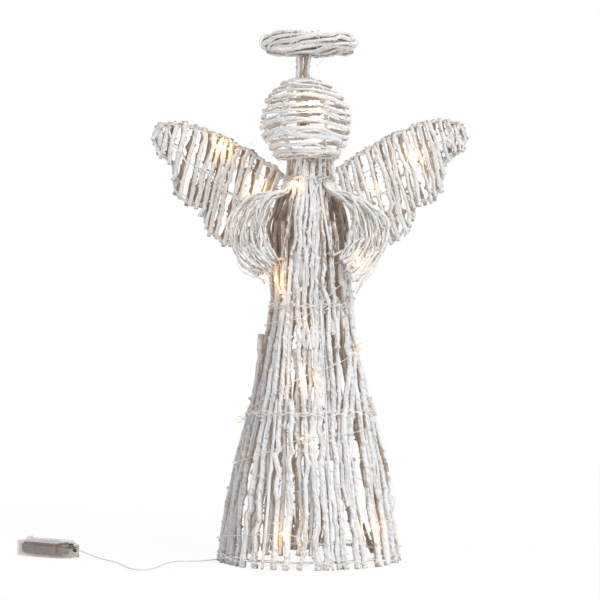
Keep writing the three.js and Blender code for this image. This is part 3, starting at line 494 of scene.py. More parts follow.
def flat_feet(shell):
    """Feet sawn level with the floor."""
    shell["points"][..., 2] = np.maximum(shell["points"][..., 2], 0)
    return shell


def bare_and_shaded_behind_arms(path):
    """How bare the body stays behind the arms, which were in the brush's way, and how much shade is painted
    there as darker bark: the product of a rise and a fall over the edges in height, a rise with the distance
    to the side, and a step in depth."""
    (low, high), (low_edge, high_edge) = ARM_SHADE_HEIGHTS, ARM_SHADE_EDGES
    height = np.clip((path[:, 2] - low) / low_edge, 0, 1) * np.clip((high - path[:, 2]) / high_edge, 0, 1)
    beside = np.clip((np.abs(path[:, 0] - ARM_SHADE_MIDDLE) - ARM_SHADE_REACH) / ARM_SHADE_SIDE_EDGE, 0, 1)
    return ARM_SHADE_WEAR * height * beside * (path[:, 1] < ARM_SHADE_BACK)


# The tables of the front's twigs give their sideways places at the rows of heights. EXTRA_FRONT and RODS also
# give the first row that a twig reaches, how far it lies inside the body's line, and its radius.
ROW_HEIGHTS = np.array([0, 52, 118, 151, 184, 239, 294, 316, 349, 382, 404, 426, 450])
LONG_FRONT = {
    8: [-100.0, -92.4, -79.2, -70.6, -60.6, -50.0, -40.8, -42.3, -43.6, -42.5, -34.5, -26.6, -20.9],
    9: [-90.9, -85.5, -71.1, -63.3, -55.5, -43.3, -35.5, -36.5, -38.9, -37.8, -29.9, -23.2, -16.4],
    10: [-72.3, -65.8, -57.2, -51.8, -46.4, -36.4, -27.5, -26.9, -25.8, -23.0, -19.7, -15.2, -11.8],
    11: [-39.0, -34.2, -35.5, -32.2, -30.6, -27.4, -21.9, -20.8, -17.4, -14.1, -11.8, -9.6, -8.5],
    12: [8.9, 8.9, 6.3, 5.3, 7.5, 8.2, 8.2, 8.2, 9.3, 11.0, 11.7, 12.3, 12.9],
    13: [40.5, 35.2, 28.3, 26.8, 27.5, 22.1, 20.0, 18.3, 16.6, 15.5, 15.6, 16.9, 18.6],
    14: [77.6, 69.9, 61.5, 57.8, 54.2, 49.3, 43.6, 41.1, 38.8, 37.8, 32.2, 25.5, 21.0],
    15: [95.6, 88.0, 79.0, 72.5, 66.0, 54.5, 47.0, 45.9, 43.6, 42.5, 36.9, 28.9, 24.4],
}
SHORT_FRONT = {
    8: [[-95.8, -88.0, -75.2, -67.4, -61.0, -52.8]],
    9: [[-86.1, -81.3, -66.4, -58.7, -52.1, -42.1, -33.2, -34.3, -36.6, -36.6], [-79.2, -74.9, -66.4]],
    10: [[-60.0, -55.2, -49.4, -45.1, -40.7, -31.9, -25.3, -26.4, -27.5, -26.4]],
    11: [[-23.7, -21.1, -19.5, -19.0, -16.2]],
    12: [[18.7, 19.3, 14.5, 13.5, 12.5, 11.5]],
    13: [[53.8, 47.9, 40.5, 39.1, 42.1, 44.3, 40.2, 36.4, 31.8, 28.5], [61.0, 52.5, 44.5, 46.5, 48.0, 45.5]],
    14: [[87.0, 80.4, 70.3, 65.6, 61.6, 53.3, 46.5, 44.8, 42.5, 41.4]],
    15: [[100.6, 93.5, 84.6, 77.5, 68.0]],
}
EXTRA_FRONT = [
    (0, 0.5, 2.6, [-9.6, -3.1, -1.9, -2.4, -6.3, -10.2, -12.9, -11.8, -10.7, -9.0, -7.4, -6.2, -4.0]),
    (4, 1.0, 2.0, [-0.8, -4.6, -6.8, -6.3, -4.6, -3.5, -2.9, -1.7, -0.6]),
    (5, 0.0, 2.0, [-0.7, -2.4, -1.8, -0.7, 1.0, 2.1, 2.8, 3.9]),
    (5, 1.0, 2.0, [5.9, 2.7, 2.1, 4.3, 6.6, 7.2, 7.3, 7.3]),
    (5, 0.0, 2.6, [32.8, 28.5, 25.6, 24.5, 24.0]),
    (0, 1.0, 2.6, [31.8, 28.6, 20.5]),
    (0, 1.5, 2.1, [80.5, 74.7, 66.1, 62.2]),
    (0, 1.5, 2.2, [91.0, 83.5, 73.4, 68.0]),
    (4, 1.5, 2.1, [47.5, 47.0, 42.0]),
    (0, 8.0, 3.0, [-10.7, -8.5, -9.6, -11.3, -11.3, -15.2]),
    (0, 5.0, 2.6, [-46.7, -42.4, -44.9, -42.8, -39.6, -34.2, -30.9]),
    (1, 4.0, 2.6, [41.3, 34.4, 32.9, 33.6, 32.8, 33.0]),
    (2, 6.0, 3.0, [45.6, 44.7, 43.8, 40.8, 35.4]),
    (3, 2.5, 2.3, [-25.8, -23.5, -21.0, -18.0, -16.0, -14.5]),
    (2, 3.0, 2.4, [25.0, 24.0, 22.5, 17.5, 14.5, 13.0]),
    (0, 6.0, 2.6, [-30.5, -29.0, -28.0, -27.0, -26.0]),
    (0, 7.0, 2.4, [2.0, 2.5, 1.5, 1.0, 1.5, 1.0]),
    (0, 6.0, 2.5, [-66.0, -61.0, -54.0, -50.0, -45.0, -37.0]),
    (4, 5.5, 2.8, [-35.0, -31.0, -29.0, -29.5, -31.0, -30.5, -25.0, -19.0, -14.0]),
    (6, 5.0, 2.6, [-17.0, -17.0, -15.0, -13.0, -11.0, -8.5, -6.0]),
    (6, 5.0, 2.6, [-9.0, -8.5, -8.0, -6.5, -5.0, -4.0, -3.0]),
    (6, 5.0, 2.6, [0.5, 0.5, 1.0, 3.0, 4.0, 4.5, 5.0]),
    (5, 5.0, 2.6, [11.0, 11.5, 12.0, 12.5, 12.8, 12.0, 11.0, 11.0]),
    (5, 6.0, 2.8, [27.0, 25.0, 24.0, 22.0, 21.0, 19.5, 17.0]),
    (0, 2.0, 2.0, [61.5, 56.0, 45.5, 42.0, 38.5]),
    (8, 12.0, 2.8, [28.0, 27.0, 25.0, 20.0]),
]
RODS = [
    (0, -2.2, 1.6, [-51.1, -46.3, -41.0, -37.8, -35.1]),
    (0, -2.2, 1.4, [26.3, 24.2, 21.1, 20.1, 18.6, 15.4, 13.8]),
    (8, -2.2, 1.5, [24.6, 19.0, 15.0, 12.8]),
]
INNER_INSET = 3.5
INNER_FOOT = 15
WIDEST_SHARE = 0.996
CHEST_WEAR = 0.5
CHEST_WEAR_HEIGHT = 262
CHEST_WEAR_EDGE = 40
SCAR_WEAR = 2.0
SCAR_HEIGHT = 107
SCAR_LENGTH = 8.5


def front_line(first, reaches, inset=0.0, rise=0.0, foot=0.0):
    """The line of a twig on the front of the body: at each height its azimuth is the one whose cosine is
    its sideways place over the body's radius, or over a wider one where that place lies past it."""
    reaches = np.array(reaches)
    heights = ROW_HEIGHTS[first:first + len(reaches)].astype(float)
    radius = np.maximum(body_radius(heights) - inset, np.abs(reaches) / WIDEST_SHARE)
    azimuth = -np.arccos(reaches / radius)
    heights[-1] += rise
    heights[0] += foot
    return around_axis(radius, azimuth, heights)


def worn_chest(path):
    """How bare the brownish twig in the middle of the chest is: a straight rise with height."""
    return CHEST_WEAR * np.clip((path[:, 2] - CHEST_WEAR_HEIGHT) / CHEST_WEAR_EDGE, 0, 1)


def scarred(path):
    """How bare the bark is round the torn scar at the skirt's right: a bell over the height."""
    return bare_and_shaded_behind_arms(path) + SCAR_WEAR * np.exp(-((path[:, 2] - SCAR_HEIGHT) / SCAR_LENGTH) ** 2)


# Staves on the viewer's left, away from the key lamp, get a darker wash: painted shade.
PAINTED_SHADE_SIDE = (6, 7, 8, 9)
STOUT_SIDE = (12, 13, 14, 15)
STOUTER = 0.1
TURN_SPREAD = 0.02
LONG_TAPER = 0.26
FORK_THINNING = 0.85
CHEST_TWIG = 13
SCARRED_TWIG = 15
REAR_TURNS = {2: 0.1}
SHORT_TWIG_RISES = {8: 16}
stave_lines = []
washed_stave = twig_material("limewashed stave", 0.0)
thin_washed_stave = twig_material("thinly limewashed stave", 0.08)
# A darker copy of the limewash for the left side: painted shade.
painted_shade_stave = twig_material("limewashed stave with painted shade", 0.05, (0.70, 0.695, 0.70, 1),
                                  (0.46, 0.45, 0.455, 1))
# The inner twigs' bark is lighter: partly a thin wash reaching inside, partly painted light for the dim
# inside of the skirt.
inner_stave_half_washed_with_painted_light = twig_material("inner stave half washed with painted light", 0.45, dark=(0.66, 0.55, 0.47, 1), light=(0.84, 0.74, 0.66, 1))

for i in range(STAVE_COUNT):
    rng = np.random.default_rng(100 + i)
    stouter = STOUTER * (i in STOUT_SIDE)
    girth = rng.uniform(0.76, 1.0) + stouter
    if i in LONG_FRONT:
        line = front_line(0, LONG_FRONT[i], rng.uniform(-1.0, 1.4), 6 + rng.uniform(0, 8))
    else:
        azimuth = i * STAVE_PITCH + rng.normal(0, TURN_SPREAD) + REAR_TURNS.get(i, 0.0)
        line = stave_line(azimuth, 0, STAVE_HEIGHT + rng.uniform(0, 8), i)
    stave_lines.append(line)
    shell = twig_shell(
        rng, line, lambda share: girth * (1 - LONG_TAPER * share) * stave_radius(share * STAVE_HEIGHT),
        from_axis, bare=worn_chest if i == CHEST_TWIG else bare_and_shaded_behind_arms)
    material = painted_shade_stave if i in PAINTED_SHADE_SIDE else washed_stave
    add_piece(f"long_twig_{i + 1:02d}", [flat_feet(shell)], material, [f"long_stave_{i + 1:02d}"])

    rng = np.random.default_rng(200 + i)
    between = (i + 0.5) * STAVE_PITCH + rng.normal(0, TURN_SPREAD)
    top = SHORT_STAVE_HEIGHTS[i % len(SHORT_STAVE_HEIGHTS)]
    girth = rng.uniform(0.72, 0.95) + stouter
    if i in SHORT_FRONT:
        lines = [front_line(0, reaches, rng.uniform(-0.6, 1.2), SHORT_TWIG_RISES.get(i, 0))
                 for reaches in SHORT_FRONT[i]]
    elif i % 2:
        lines = [stave_line(between, 0, leg_top, STAVE_COUNT + i, side * FORK_LEG_SPACING / 2)
                 for side, leg_top in ((-1, top), (1, min(top, FORK_HEIGHT)))]
    else:
        lines = [stave_line(between, 0, top, STAVE_COUNT + i)]
    stave_lines += lines
    if len(lines) > 1:
        girth = FORK_THINNING * girth
    bare = scarred if i == SCARRED_TWIG else bare_and_shaded_behind_arms
    shells = [twig_shell(rng, line, lambda share: girth * stave_radius(share * line[-1, 2]), from_axis,
                         bare=bare) for line in lines]
    material = painted_shade_stave if i in PAINTED_SHADE_SIDE else thin_washed_stave
    add_piece(f"short_twig_{i + 1:02d}", [flat_feet(shell) for shell in shells], material,
              [f"short_stave_{i + 1:02d}"])

rng = np.random.default_rng(300)
for name, material, inner in (
        ("extra_front_twigs", washed_stave, False),
        ("extra_inner_twigs", inner_stave_half_washed_with_painted_light, True)):
    extras = [flat_feet(twig_shell(rng, front_line(first, reaches, inset, 0, INNER_FOOT * inner), thick,
                                   from_axis, bare=bare_and_shaded_behind_arms))
              for first, inset, thick, reaches in EXTRA_FRONT if (inset > INNER_INSET) == inner]
    add_piece(name, extras, material)
BACK_EXTRAS = 10
BACK_EXTRA_INSET = 4.5
BACK_EXTRA_SHIFTS = {2: -0.4, 6: 0.3}
SHORT_BACK_RADIUS = 2.9
SHORT_BACK_TWIGS = np.array([
    [(74, 66, 0), (68, 64, 16), (62, 62, 34)],
    [(83, 52, 0), (78, 51, 13), (74, 50, 26)],
], float)
extras = []
for i in range(BACK_EXTRAS):
    place = i + 0.5 + rng.uniform(-0.2, 0.2) + BACK_EXTRA_SHIFTS.get(i, 0.0)
    azimuth = place * np.pi / BACK_EXTRAS
    line = stave_line(azimuth, 0, rng.uniform(330, 430), i) - BACK_EXTRA_INSET * around_axis(1, azimuth, 0.0)
    extras.append(flat_feet(twig_shell(rng, line, rng.uniform(2.1, 3.0), from_axis)))
for line in SHORT_BACK_TWIGS:
    extras.append(flat_feet(twig_shell(rng, line, SHORT_BACK_RADIUS, from_axis)))
add_piece("extra_back_twigs", extras, thin_washed_stave)

peeled_rod = twig_material("limewashed peeled rod", -1.0, bump=0.0003)
rods = [flat_feet(twig_shell(rng, front_line(first, reaches, inset), thick, from_axis, crook=0.15,
                             buds=0.06, rough=0.3)) for first, inset, thick, reaches in RODS]
add_piece("peeled_rods", rods, peeled_rod)


# Hoops. Rings of mild steel wire, painted with the twigs, that hold the staves at the foot, the hips, the
# waist and the neck. A thin binding wire goes out round every stave and back in between.
HOOP_RADIUS = 1.6
HOOP_SIDES = 10
HOOP_CUTS = 240
BINDING_RADIUS = 0.5
BINDING_SIDES = 5
BINDING_CUTS = 960
BINDING_WIRES = 2
BINDING_APART = 1.2
TIES_PER_STAVE = 2
TIE_CUTS = 20
TIE_TILT = 1.6
TIE_SPREAD = 0.8
SEAT_GAP = 0.3
NECK_ABOVE = 400
HOOPS = {"base_hoop": 7.6, "hip_hoop": 168, "waist_hoop": 288, "neck_hoop": 432}


def wire_shell(path, radius, sides=6, facing=UP, closed=False):
    """A round wire along a path. Its corners lie the radius times the cosine and the sine of equal angles
    from it."""
    angle = round_angles(sides)
    out = np.broadcast_to(radius * np.cos(angle), (len(path), sides))
    beside = np.broadcast_to(radius * np.sin(angle), (len(path), sides))
    return {"points": sweep(path, facing, out, beside, closed), "closed": closed}


def painted_wire_material(name, low, high, scale=300.0):
    """Paint on wire, broken by darker spots: noise, stepped, mixes the two colours."""
    material, shader = principled(name, roughness=0.55, Metallic=0.0)
    tree = material.node_tree
    grain = tree.nodes.new("ShaderNodeAttribute")
    grain.attribute_name = "grain"
    spots = noise(tree, grain.outputs["Vector"], scale, 4.0)
    tree.links.new(mixed(tree, low, high, stepped(tree, spots, 0.35, 0.62)), shader.inputs["Base Color"])
    return material


painted_wire = painted_wire_material("painted hoop wire", (0.72, 0.70, 0.68, 1), (0.93, 0.925, 0.92, 1))
binding_wire = painted_wire_material("painted binding wire", (0.80, 0.78, 0.76, 1), (0.95, 0.945, 0.94, 1),
                                     500.0)

for name, height in HOOPS.items():
    rng = np.random.default_rng(int(height))
    reach = body_radius(height) - stave_radius(height) - SEAT_GAP - HOOP_RADIUS
    ring = around_axis(reach, round_angles(HOOP_CUTS), float(height))
    hoop = wire_shell(ring, 0.9 * HOOP_RADIUS, HOOP_SIDES, closed=True)
    staves = STAVE_COUNT * (1 if height > NECK_ABOVE else 2)
    dense = round_angles(BINDING_CUTS)
    bindings = []
    for k in range(BINDING_WIRES):
        weave = stave_radius(height) * (0.9 + 0.28 * np.cos(staves * dense + 2.0 * k))
        lift = 1.6 * np.sin(staves * dense / 2 + 2.4 * k) + 1.1 * np.sin(5 * dense + height + k)
        lift = lift + BINDING_APART * (2 * k - 1)
        loop = around_axis(body_radius(height) + weave, dense, height + lift)
        bindings.append(wire_shell(loop, BINDING_RADIUS, BINDING_SIDES, closed=True))
    for line in stave_lines:
        if not line[0, 2] < height < line[-1, 2]:
            continue
        middle = np.array([np.interp(height, line[:, 2], line[:, k]) for k in range(3)])
        reach = stave_radius(height) * 0.92 + BINDING_RADIUS
        for _ in range(TIES_PER_STAVE):
            spin = round_angles(TIE_CUTS)
            tilt = rng.normal(0, TIE_TILT, 2)
            rise = tilt[0] * np.cos(spin) + tilt[1] * np.sin(spin) + rng.normal(0, TIE_SPREAD)
            loop = middle + around_axis(reach, spin, rise)
            bindings.append(wire_shell(loop, BINDING_RADIUS, BINDING_SIDES, closed=True))
    add_piece(f"{name}_wire", [hoop], painted_wire, [name])
    add_piece(f"{name}_binding", bindings, binding_wire)


# Head. One long twig wound in a spiral over wire meridians, which stand on a ring inside the necks of the
# staves. The twig is limewashed outside, and thin binding wires hold its turns together.
HEAD_RADIUS = 53
HEAD_HEIGHT = 495
HEAD_TWIG_RADIUS = 3.2
HEAD_LOOPS = 12
HEAD_CUTS = 24
HEAD_CROWN_RADIUS = 7
HEAD_MOUTH_RADIUS = 35
HEAD_WIRE_RADIUS = 1.0
HEAD_WIRE_SIDES = 8
HEAD_SHIFT = np.array([-3.2, 0, 0])
HEAD_SAG = 0.13
HEAD_EASE = 0.8
HEAD_DRIFT = 0.03
THICKNESSES_PER_LOOP = 3
THIN_PLACE_SHARE = 0.7
THIN_HEAD_VINES = 8
VINE_CUTS = 60
HEAD_RIM_VINES = 9
HEAD_RIM_RADIUS = 32.5
HEAD_RIM_HEIGHT = 457.5
MERIDIANS = 6
MERIDIAN_PITCH = 2 * np.pi / MERIDIANS
MERIDIAN_FOOT = 460
TIED_MERIDIANS = (1, 2, 4, 5)
TIE_STRANDS = ((0.028, 0.0), (-0.024, 0.9))
TIE_ENDS = (0.02, 0.985)
TIE_LENGTH_CUTS = 420
HEAD_RING_HEIGHT = 446
HEAD_CENTRE = np.array([0, 0, HEAD_HEIGHT])
winding_radius = HEAD_RADIUS - HEAD_TWIG_RADIUS
frame_radius = winding_radius - HEAD_TWIG_RADIUS - SEAT_GAP - HEAD_WIRE_RADIUS


def ball_point(radius, from_top, azimuth):
    """A point of the head's ball from its angle below the top and its azimuth. The radius is eased out by a
    sine of the angle, and the ball is shifted to one side of the neck in two straight rises with height."""
    radius = radius + HEAD_EASE * np.sin(from_top)
    place = around_axis(radius * np.sin(from_top), azimuth, HEAD_HEIGHT + radius * np.cos(from_top))
    rise = place[..., 2:]
    return place + HEAD_SHIFT * (np.clip((rise - 452) / 18, 0, 1) + np.clip((rise - 510) / 38, 0, 1))


def sag(azimuth):
    """How much lower the winding lies at the sides than between the two front meridians, as an angle: a
    straight rise with the azimuth's distance from the front or the back."""
    side = np.abs(np.angle(np.exp(2j * (azimuth + np.pi / 2 + 0.12)))) / 2
    return HEAD_SAG * np.clip((side - 0.42) / 0.75, 0, 1)


def from_head(path):
    """Straight out from the middle of the head at each point."""
    return path - HEAD_CENTRE


rng = np.random.default_rng(31)
share = np.linspace(0, 1, HEAD_LOOPS * HEAD_CUTS + 1)
crown = np.arcsin(HEAD_CROWN_RADIUS / winding_radius)
mouth = np.pi - np.arcsin(HEAD_MOUTH_RADIUS / winding_radius)
around = 2 * np.pi * HEAD_LOOPS * share
down = crown + (mouth - crown) * share + HEAD_DRIFT * np.sin(0.37 * around + 1.0)
down = down + sag(around) * np.clip(6 * (1 - share), 0, 1) * np.clip(9 * share, 0, 1)
spiral = ball_point(winding_radius, down, around)
thickness_places = np.arange(HEAD_LOOPS * THICKNESSES_PER_LOOP + 1)
thickness = rng.uniform(0.38, 0.95, len(thickness_places))
thickness[1::THICKNESSES_PER_LOOP] *= THIN_PLACE_SHARE
head_shells = [twig_shell(
    rng, spiral,
    lambda k: HEAD_TWIG_RADIUS * np.interp(k * thickness_places[-1], thickness_places, thickness),
    from_head, crook=1.0, knot_gap=12, buds=0.6, rough=1.4, flat=0.8)]
for i in range(THIN_HEAD_VINES):
    start = crown + (mouth - crown) * (i + 0.6 + rng.uniform(-0.2, 0.2)) / THIN_HEAD_VINES
    azimuth = rng.uniform(0, 2 * np.pi) + np.linspace(0, rng.uniform(2.2, 5.2), VINE_CUTS)
    wave = rng.uniform(-0.10, 0.10) * np.sin(np.linspace(0, rng.uniform(2, 5), VINE_CUTS))
    drift = np.clip(start + wave + sag(azimuth), crown, mouth)
    thin = ball_point(winding_radius + rng.uniform(-0.5, 1.2), drift, azimuth)
    head_shells.append(twig_shell(rng, thin, rng.uniform(0.8, 1.5), from_head, sides=8, step=1.5, crook=0.6,
                                  knot_gap=13, buds=0.4))
washed_winding = twig_material("limewashed winding", -0.08, (0.90, 0.90, 0.895, 1), (0.78, 0.78, 0.785, 1),
                               dark=(0.66, 0.54, 0.45, 1), light=(0.86, 0.75, 0.66, 1))
add_piece("head_winding_twig", head_shells, washed_winding, ["head_winding"])

rim_shells = []
for i in range(HEAD_RIM_VINES):
    azimuth = rng.uniform(0, 2 * np.pi) + np.linspace(0, rng.uniform(4.0, 6.6), VINE_CUTS)
    wave = 1.6 * np.sin(azimuth * rng.integers(2, 5) + i)
    reach = HEAD_RIM_RADIUS + rng.uniform(-3.5, 3) + wave
    rim = around_axis(reach, azimuth, HEAD_RIM_HEIGHT + rng.uniform(-4, 3) - wave)
    rim_shells.append(twig_shell(rng, rim + HEAD_SHIFT * 0.3, rng.uniform(0.7, 1.7), from_head, sides=10,
                                 step=1.2, knot_gap=7, buds=0.8, paint=rng.uniform(-0.5, 0.3)))
add_piece("head_rim_vines", rim_shells, washed_winding)

head_wires = []
neck_reach = body_radius(HEAD_RING_HEIGHT) - stave_radius(HEAD_RING_HEIGHT) - SEAT_GAP - HEAD_WIRE_RADIUS
lowest = np.arccos((MERIDIAN_FOOT - HEAD_HEIGHT) / frame_radius)
for i in range(MERIDIANS):
    azimuth = i * MERIDIAN_PITCH
    foot = around_axis(neck_reach, azimuth, np.array([HEAD_RING_HEIGHT, MERIDIAN_FOOT - 3.0]))
    arc = ball_point(frame_radius, np.linspace(lowest, 0, 12), azimuth)
    path, _ = smooth_path(np.vstack([foot, arc]), 2.5)
    head_wires.append(wire_shell(path, HEAD_WIRE_RADIUS, HEAD_WIRE_SIDES,
                                 around_axis(1, azimuth + np.pi / 2, 0)))
neck_ring = around_axis(neck_reach, round_angles(72), float(HEAD_RING_HEIGHT))
head_wires.append(wire_shell(neck_ring, HEAD_WIRE_RADIUS, HEAD_WIRE_SIDES, closed=True))
add_piece("head_frame_wire", head_wires, painted_wire, ["head_frame"])

ties = []
share = np.linspace(*TIE_ENDS, TIE_LENGTH_CUTS)
for i in TIED_MERIDIANS:
    azimuth = i * MERIDIAN_PITCH
    for sway, phase in TIE_STRANDS:
        loops = HEAD_LOOPS * share - azimuth / (2 * np.pi)
        depth = winding_radius + 0.7 + (HEAD_TWIG_RADIUS * 0.85) * np.cos(2 * np.pi * loops)
        across = azimuth + sway * np.sin(2 * np.pi * loops * 0.5 + phase) + 0.03 * np.sin(9 * share + i)
        tie = ball_point(depth, crown + (mouth - crown) * share, across)
        ties.append(wire_shell(tie, BINDING_RADIUS, BINDING_SIDES, around_axis(1, azimuth + np.pi / 2, 0)))
add_piece("head_ties", ties, binding_wire)


# Halo and its stalk. The halo is a bundle of vine wound round and round into a ring, each turn twisted about
# the others, with thin ties. Four bare twigs in a row carry the back of it from the back of the head.
HALO_OUTER_RADIUS = 55.5
HALO_HEIGHT = 585
HALO_VINE_RADIUS = 2.3
HALO_BUNDLE_RADIUS = 6
HALO_LOOPS = 6
HALO_CUTS = 24
HALO_TWISTS = 1
HALO_SHIFT = 1.3
THIN_HALO_VINES = 9
THIN_HALO_REACH = 5.5
LOW_HALO_VINES = ((98, 165, 1.8), (15, 84, 1.8), (55, 130, 1.3))
LOW_HALO_DROP = 9.0
HALO_TIES = (20, 75, 130, 190, 249, 257, 282, 330)
HALO_TIE_SLACK = 0.6
HALO_END_GAP = np.radians(12)
FRONT = np.array([0.0, -1.0, 0.0])
halo_ring = HALO_OUTER_RADIUS - HALO_BUNDLE_RADIUS - HALO_VINE_RADIUS


def from_halo(path):
    """Straight out from the middle line of the halo's bundle at each point."""
    azimuth = np.arctan2(path[:, 1], path[:, 0])
    return path - around_axis(halo_ring, azimuth, float(HALO_HEIGHT))


rng = np.random.default_rng(47)
share = np.linspace(0, 1, HALO_LOOPS * HALO_CUTS + 1)
azimuth = np.pi + share * (2 * np.pi * HALO_LOOPS - HALO_END_GAP)
twist = azimuth * (HALO_TWISTS * HALO_LOOPS + 1) / HALO_LOOPS
bundle = HALO_BUNDLE_RADIUS * (1 + 0.16 * np.sin(1.7 * azimuth) + 0.1 * np.sin(0.61 * azimuth))
coil = around_axis(halo_ring - 0.8 + bundle * np.cos(twist), azimuth, HALO_HEIGHT + bundle * np.sin(twist))
halo_shells = [twig_shell(rng, coil, lambda k: HALO_VINE_RADIUS * (0.95 + 0.25 * np.sin(97 * k)), from_halo,
                          sides=14, step=1.2, crook=0.9, knot_gap=12, buds=0.5, rough=1.3)]
for i in range(THIN_HALO_VINES):
    azimuth = rng.uniform(0, 2 * np.pi) + np.linspace(0, rng.uniform(2.0, 4.5), 40)
    twist = rng.uniform(0, 2 * np.pi) + 0.8 * azimuth
    thin = around_axis(halo_ring + THIN_HALO_REACH * np.cos(twist), azimuth,
                       HALO_HEIGHT + THIN_HALO_REACH * np.sin(twist))
    halo_shells.append(twig_shell(rng, thin, rng.uniform(0.8, 1.5), from_halo, sides=8, step=1.5, crook=0.8,
                                  knot_gap=11, buds=0.4, paint=rng.uniform(-0.4, 0.5)))
for i, (start, end, thick) in enumerate(LOW_HALO_VINES):
    azimuth = np.radians(np.linspace(start, end, 14))
    low = around_axis(halo_ring + 1.5 + 1.2 * np.sin(5 * azimuth), azimuth,
                      HALO_HEIGHT - LOW_HALO_DROP + 0.8 * np.sin(7 * azimuth + i))
    halo_shells.append(twig_shell(rng, low, thick, from_halo, sides=10, step=1.2, crook=0.7, knot_gap=10,
                                  buds=0.6, paint=0.1))
for shell in halo_shells:
    shell["points"][..., 0] += HALO_SHIFT
halo_wash = twig_material("limewashed halo vine", -0.08, (0.90, 0.90, 0.895, 1), (0.75, 0.745, 0.75, 1),
                          dark=(0.44, 0.335, 0.26, 1), light=(0.77, 0.64, 0.53, 1))
add_piece("halo_vine", halo_shells, halo_wash, ["halo_winding"])

halo_ties = []
turn = round_angles(40)
reach = HALO_BUNDLE_RADIUS + HALO_VINE_RADIUS + HALO_TIE_SLACK
for azimuth in np.radians(HALO_TIES):
    lean = azimuth + 0.03 * np.sin(turn)
    loop = around_axis(halo_ring + reach * np.cos(turn), lean, HALO_HEIGHT + reach * np.sin(turn))
    halo_ties.append(wire_shell(loop, BINDING_RADIUS, BINDING_SIDES, UP + FRONT * 0.01, closed=True))
add_piece("halo_ties", halo_ties, binding_wire)

STALK_TWIG_RADIUS = 1.8
STALK_TWIG_PITCH = 4
STALK_TAIL = 12
STALK_SHIFT = -6.0
STALK_RISE = 3
STALK_TWIGS = ((1.3, -0.6, 0.35), (0.85, 0.3, -1.2), (1.15, 0.2, -0.7), (1.25, 2.6, 0.35))


def faced(direction):
    """A facing that is the same direction at every point."""
    return lambda path: np.broadcast_to(direction, path.shape)


stalk_top = np.array([0, halo_ring, HALO_HEIGHT - HALO_BUNDLE_RADIUS - HALO_VINE_RADIUS - SEAT_GAP])
stalk_reach = HEAD_RADIUS + SEAT_GAP + STALK_TWIG_RADIUS
to_head = HEAD_CENTRE - stalk_top
stalk_length = np.sqrt(to_head @ to_head - stalk_reach**2) + STALK_TAIL
turn = np.arcsin(stalk_reach / np.linalg.norm(to_head))
_, toward_y, toward_z = unit(to_head)
stalk_down = np.array([0, toward_y * np.cos(turn) - toward_z * np.sin(turn),
                       toward_y * np.sin(turn) + toward_z * np.cos(turn)])
stalk_shells = []
for i, (thick, aside, paint) in enumerate(STALK_TWIGS):
    shift = np.array([(i - 1.5) * STALK_TWIG_PITCH * 0.95 + STALK_SHIFT, 0, 0])
    ends = np.linspace(stalk_top + stalk_down * stalk_length, stalk_top + STALK_RISE * UP, 6) + shift
    ends[-1] += (aside, 0, 0)
    stalk_shells.append(twig_shell(rng, ends, STALK_TWIG_RADIUS * thick, faced(FRONT), sides=12, crook=0.5,
                                   knot_gap=10, buds=0.45, paint=paint))
stalk_twig = twig_material("bare stalk twig", 0.0, dark=(0.30, 0.22, 0.17, 1), light=(0.60, 0.46, 0.36, 1))
add_piece("halo_stalk_twigs", stalk_shells, stalk_twig, ["halo_stalk"])


# Wings. Each is hollow: a wire outline, with a layer of slanting sticks bound before it and one behind it.
# The outside of the sticks is limewashed, the back layer thinly, and their cut ends stand past the wire.
# WINGS gives each wing's side, its count of sticks, their radius and how much higher it sits.
WING_ROOT_REACH = 28
WING_TIP_REACH = 183
WING_BOTTOM = 352
WING_TOP = 503
WING_PLANE = 50
WING_SWEEP = np.radians(8)
WING_WIRE_RADIUS = 1.5
WING_SLANT = np.radians(14.5)
WING_BULGE = 6.5
WING_BULGE_LENGTH = 75.5
WING_STICK_ENDS = 2
WING_OUTLINE_SHARES = np.array([
    (0.013, 0.57), (0.13, 0.66), (0.234, 0.735), (0.37, 0.81), (0.506, 0.88), (0.623, 0.93),
    (0.734, 0.962), (0.844, 0.97), (0.93, 0.955), (0.97, 0.89), (0.97, 0.81), (0.92, 0.74),
    (0.845, 0.675), (0.828, 0.54), (0.826, 0.475), (0.765, 0.39), (0.68, 0.353), (0.62, 0.35),
    (0.595, 0.23), (0.56, 0.15), (0.51, 0.105), (0.44, 0.063), (0.36, 0.045), (0.23, 0.03), (0.11, 0.042),
])
WINGS = {"left": (-1, 16, 2.9, 0), "right": (1, 18, 2.6, 3)}
STICK_SHIFTS = {
    "left": (0, 0, 1.7, 4.1, 2.0, 3.0, 1.3, -1.9, -3.9, -3.9, -4.5, -1.7, 0.6, 2.0, 0.6, -1.0),
    "right": (0, 0, -1.8, -1.0, 3.9, 5.6, 2.4, -1.5, -3.9, -1.1, -1.9, 0.6, 1.3, -0.6, -1.8, -1.7, 0.4, 1.5),
}
THIN_STICKS = {"left": (), "right": (6,)}
THIN_STICK_SHARE = 0.55
WING_HOLD_HEIGHTS = (428, 352)
WING_HOLD_AZIMUTH = 3 * STAVE_PITCH
WING_HOLD_TAIL = 10
TIP_TWIGS = 7
TIP_WIDENING = {"left": -3.4, "right": 0.0}
TIP_RIM_SHARES = np.array([
    (0.80, 0.985), (0.90, 0.98), (0.965, 0.955), (0.995, 0.89), (0.99, 0.80), (0.935, 0.72), (0.868, 0.655),
    (0.85, 0.56),
])
TIP_RIMS = ((-3.5, 1.7, 0, 6), (0.5, 1.5, 1, 8), (-6.0, 1.3, 2, 6))
EDGE_STRANDS = 3
WING_BINDING_SHARES = {"left": 1.7, "right": 1.2}
BINDING_SINK = 3.5


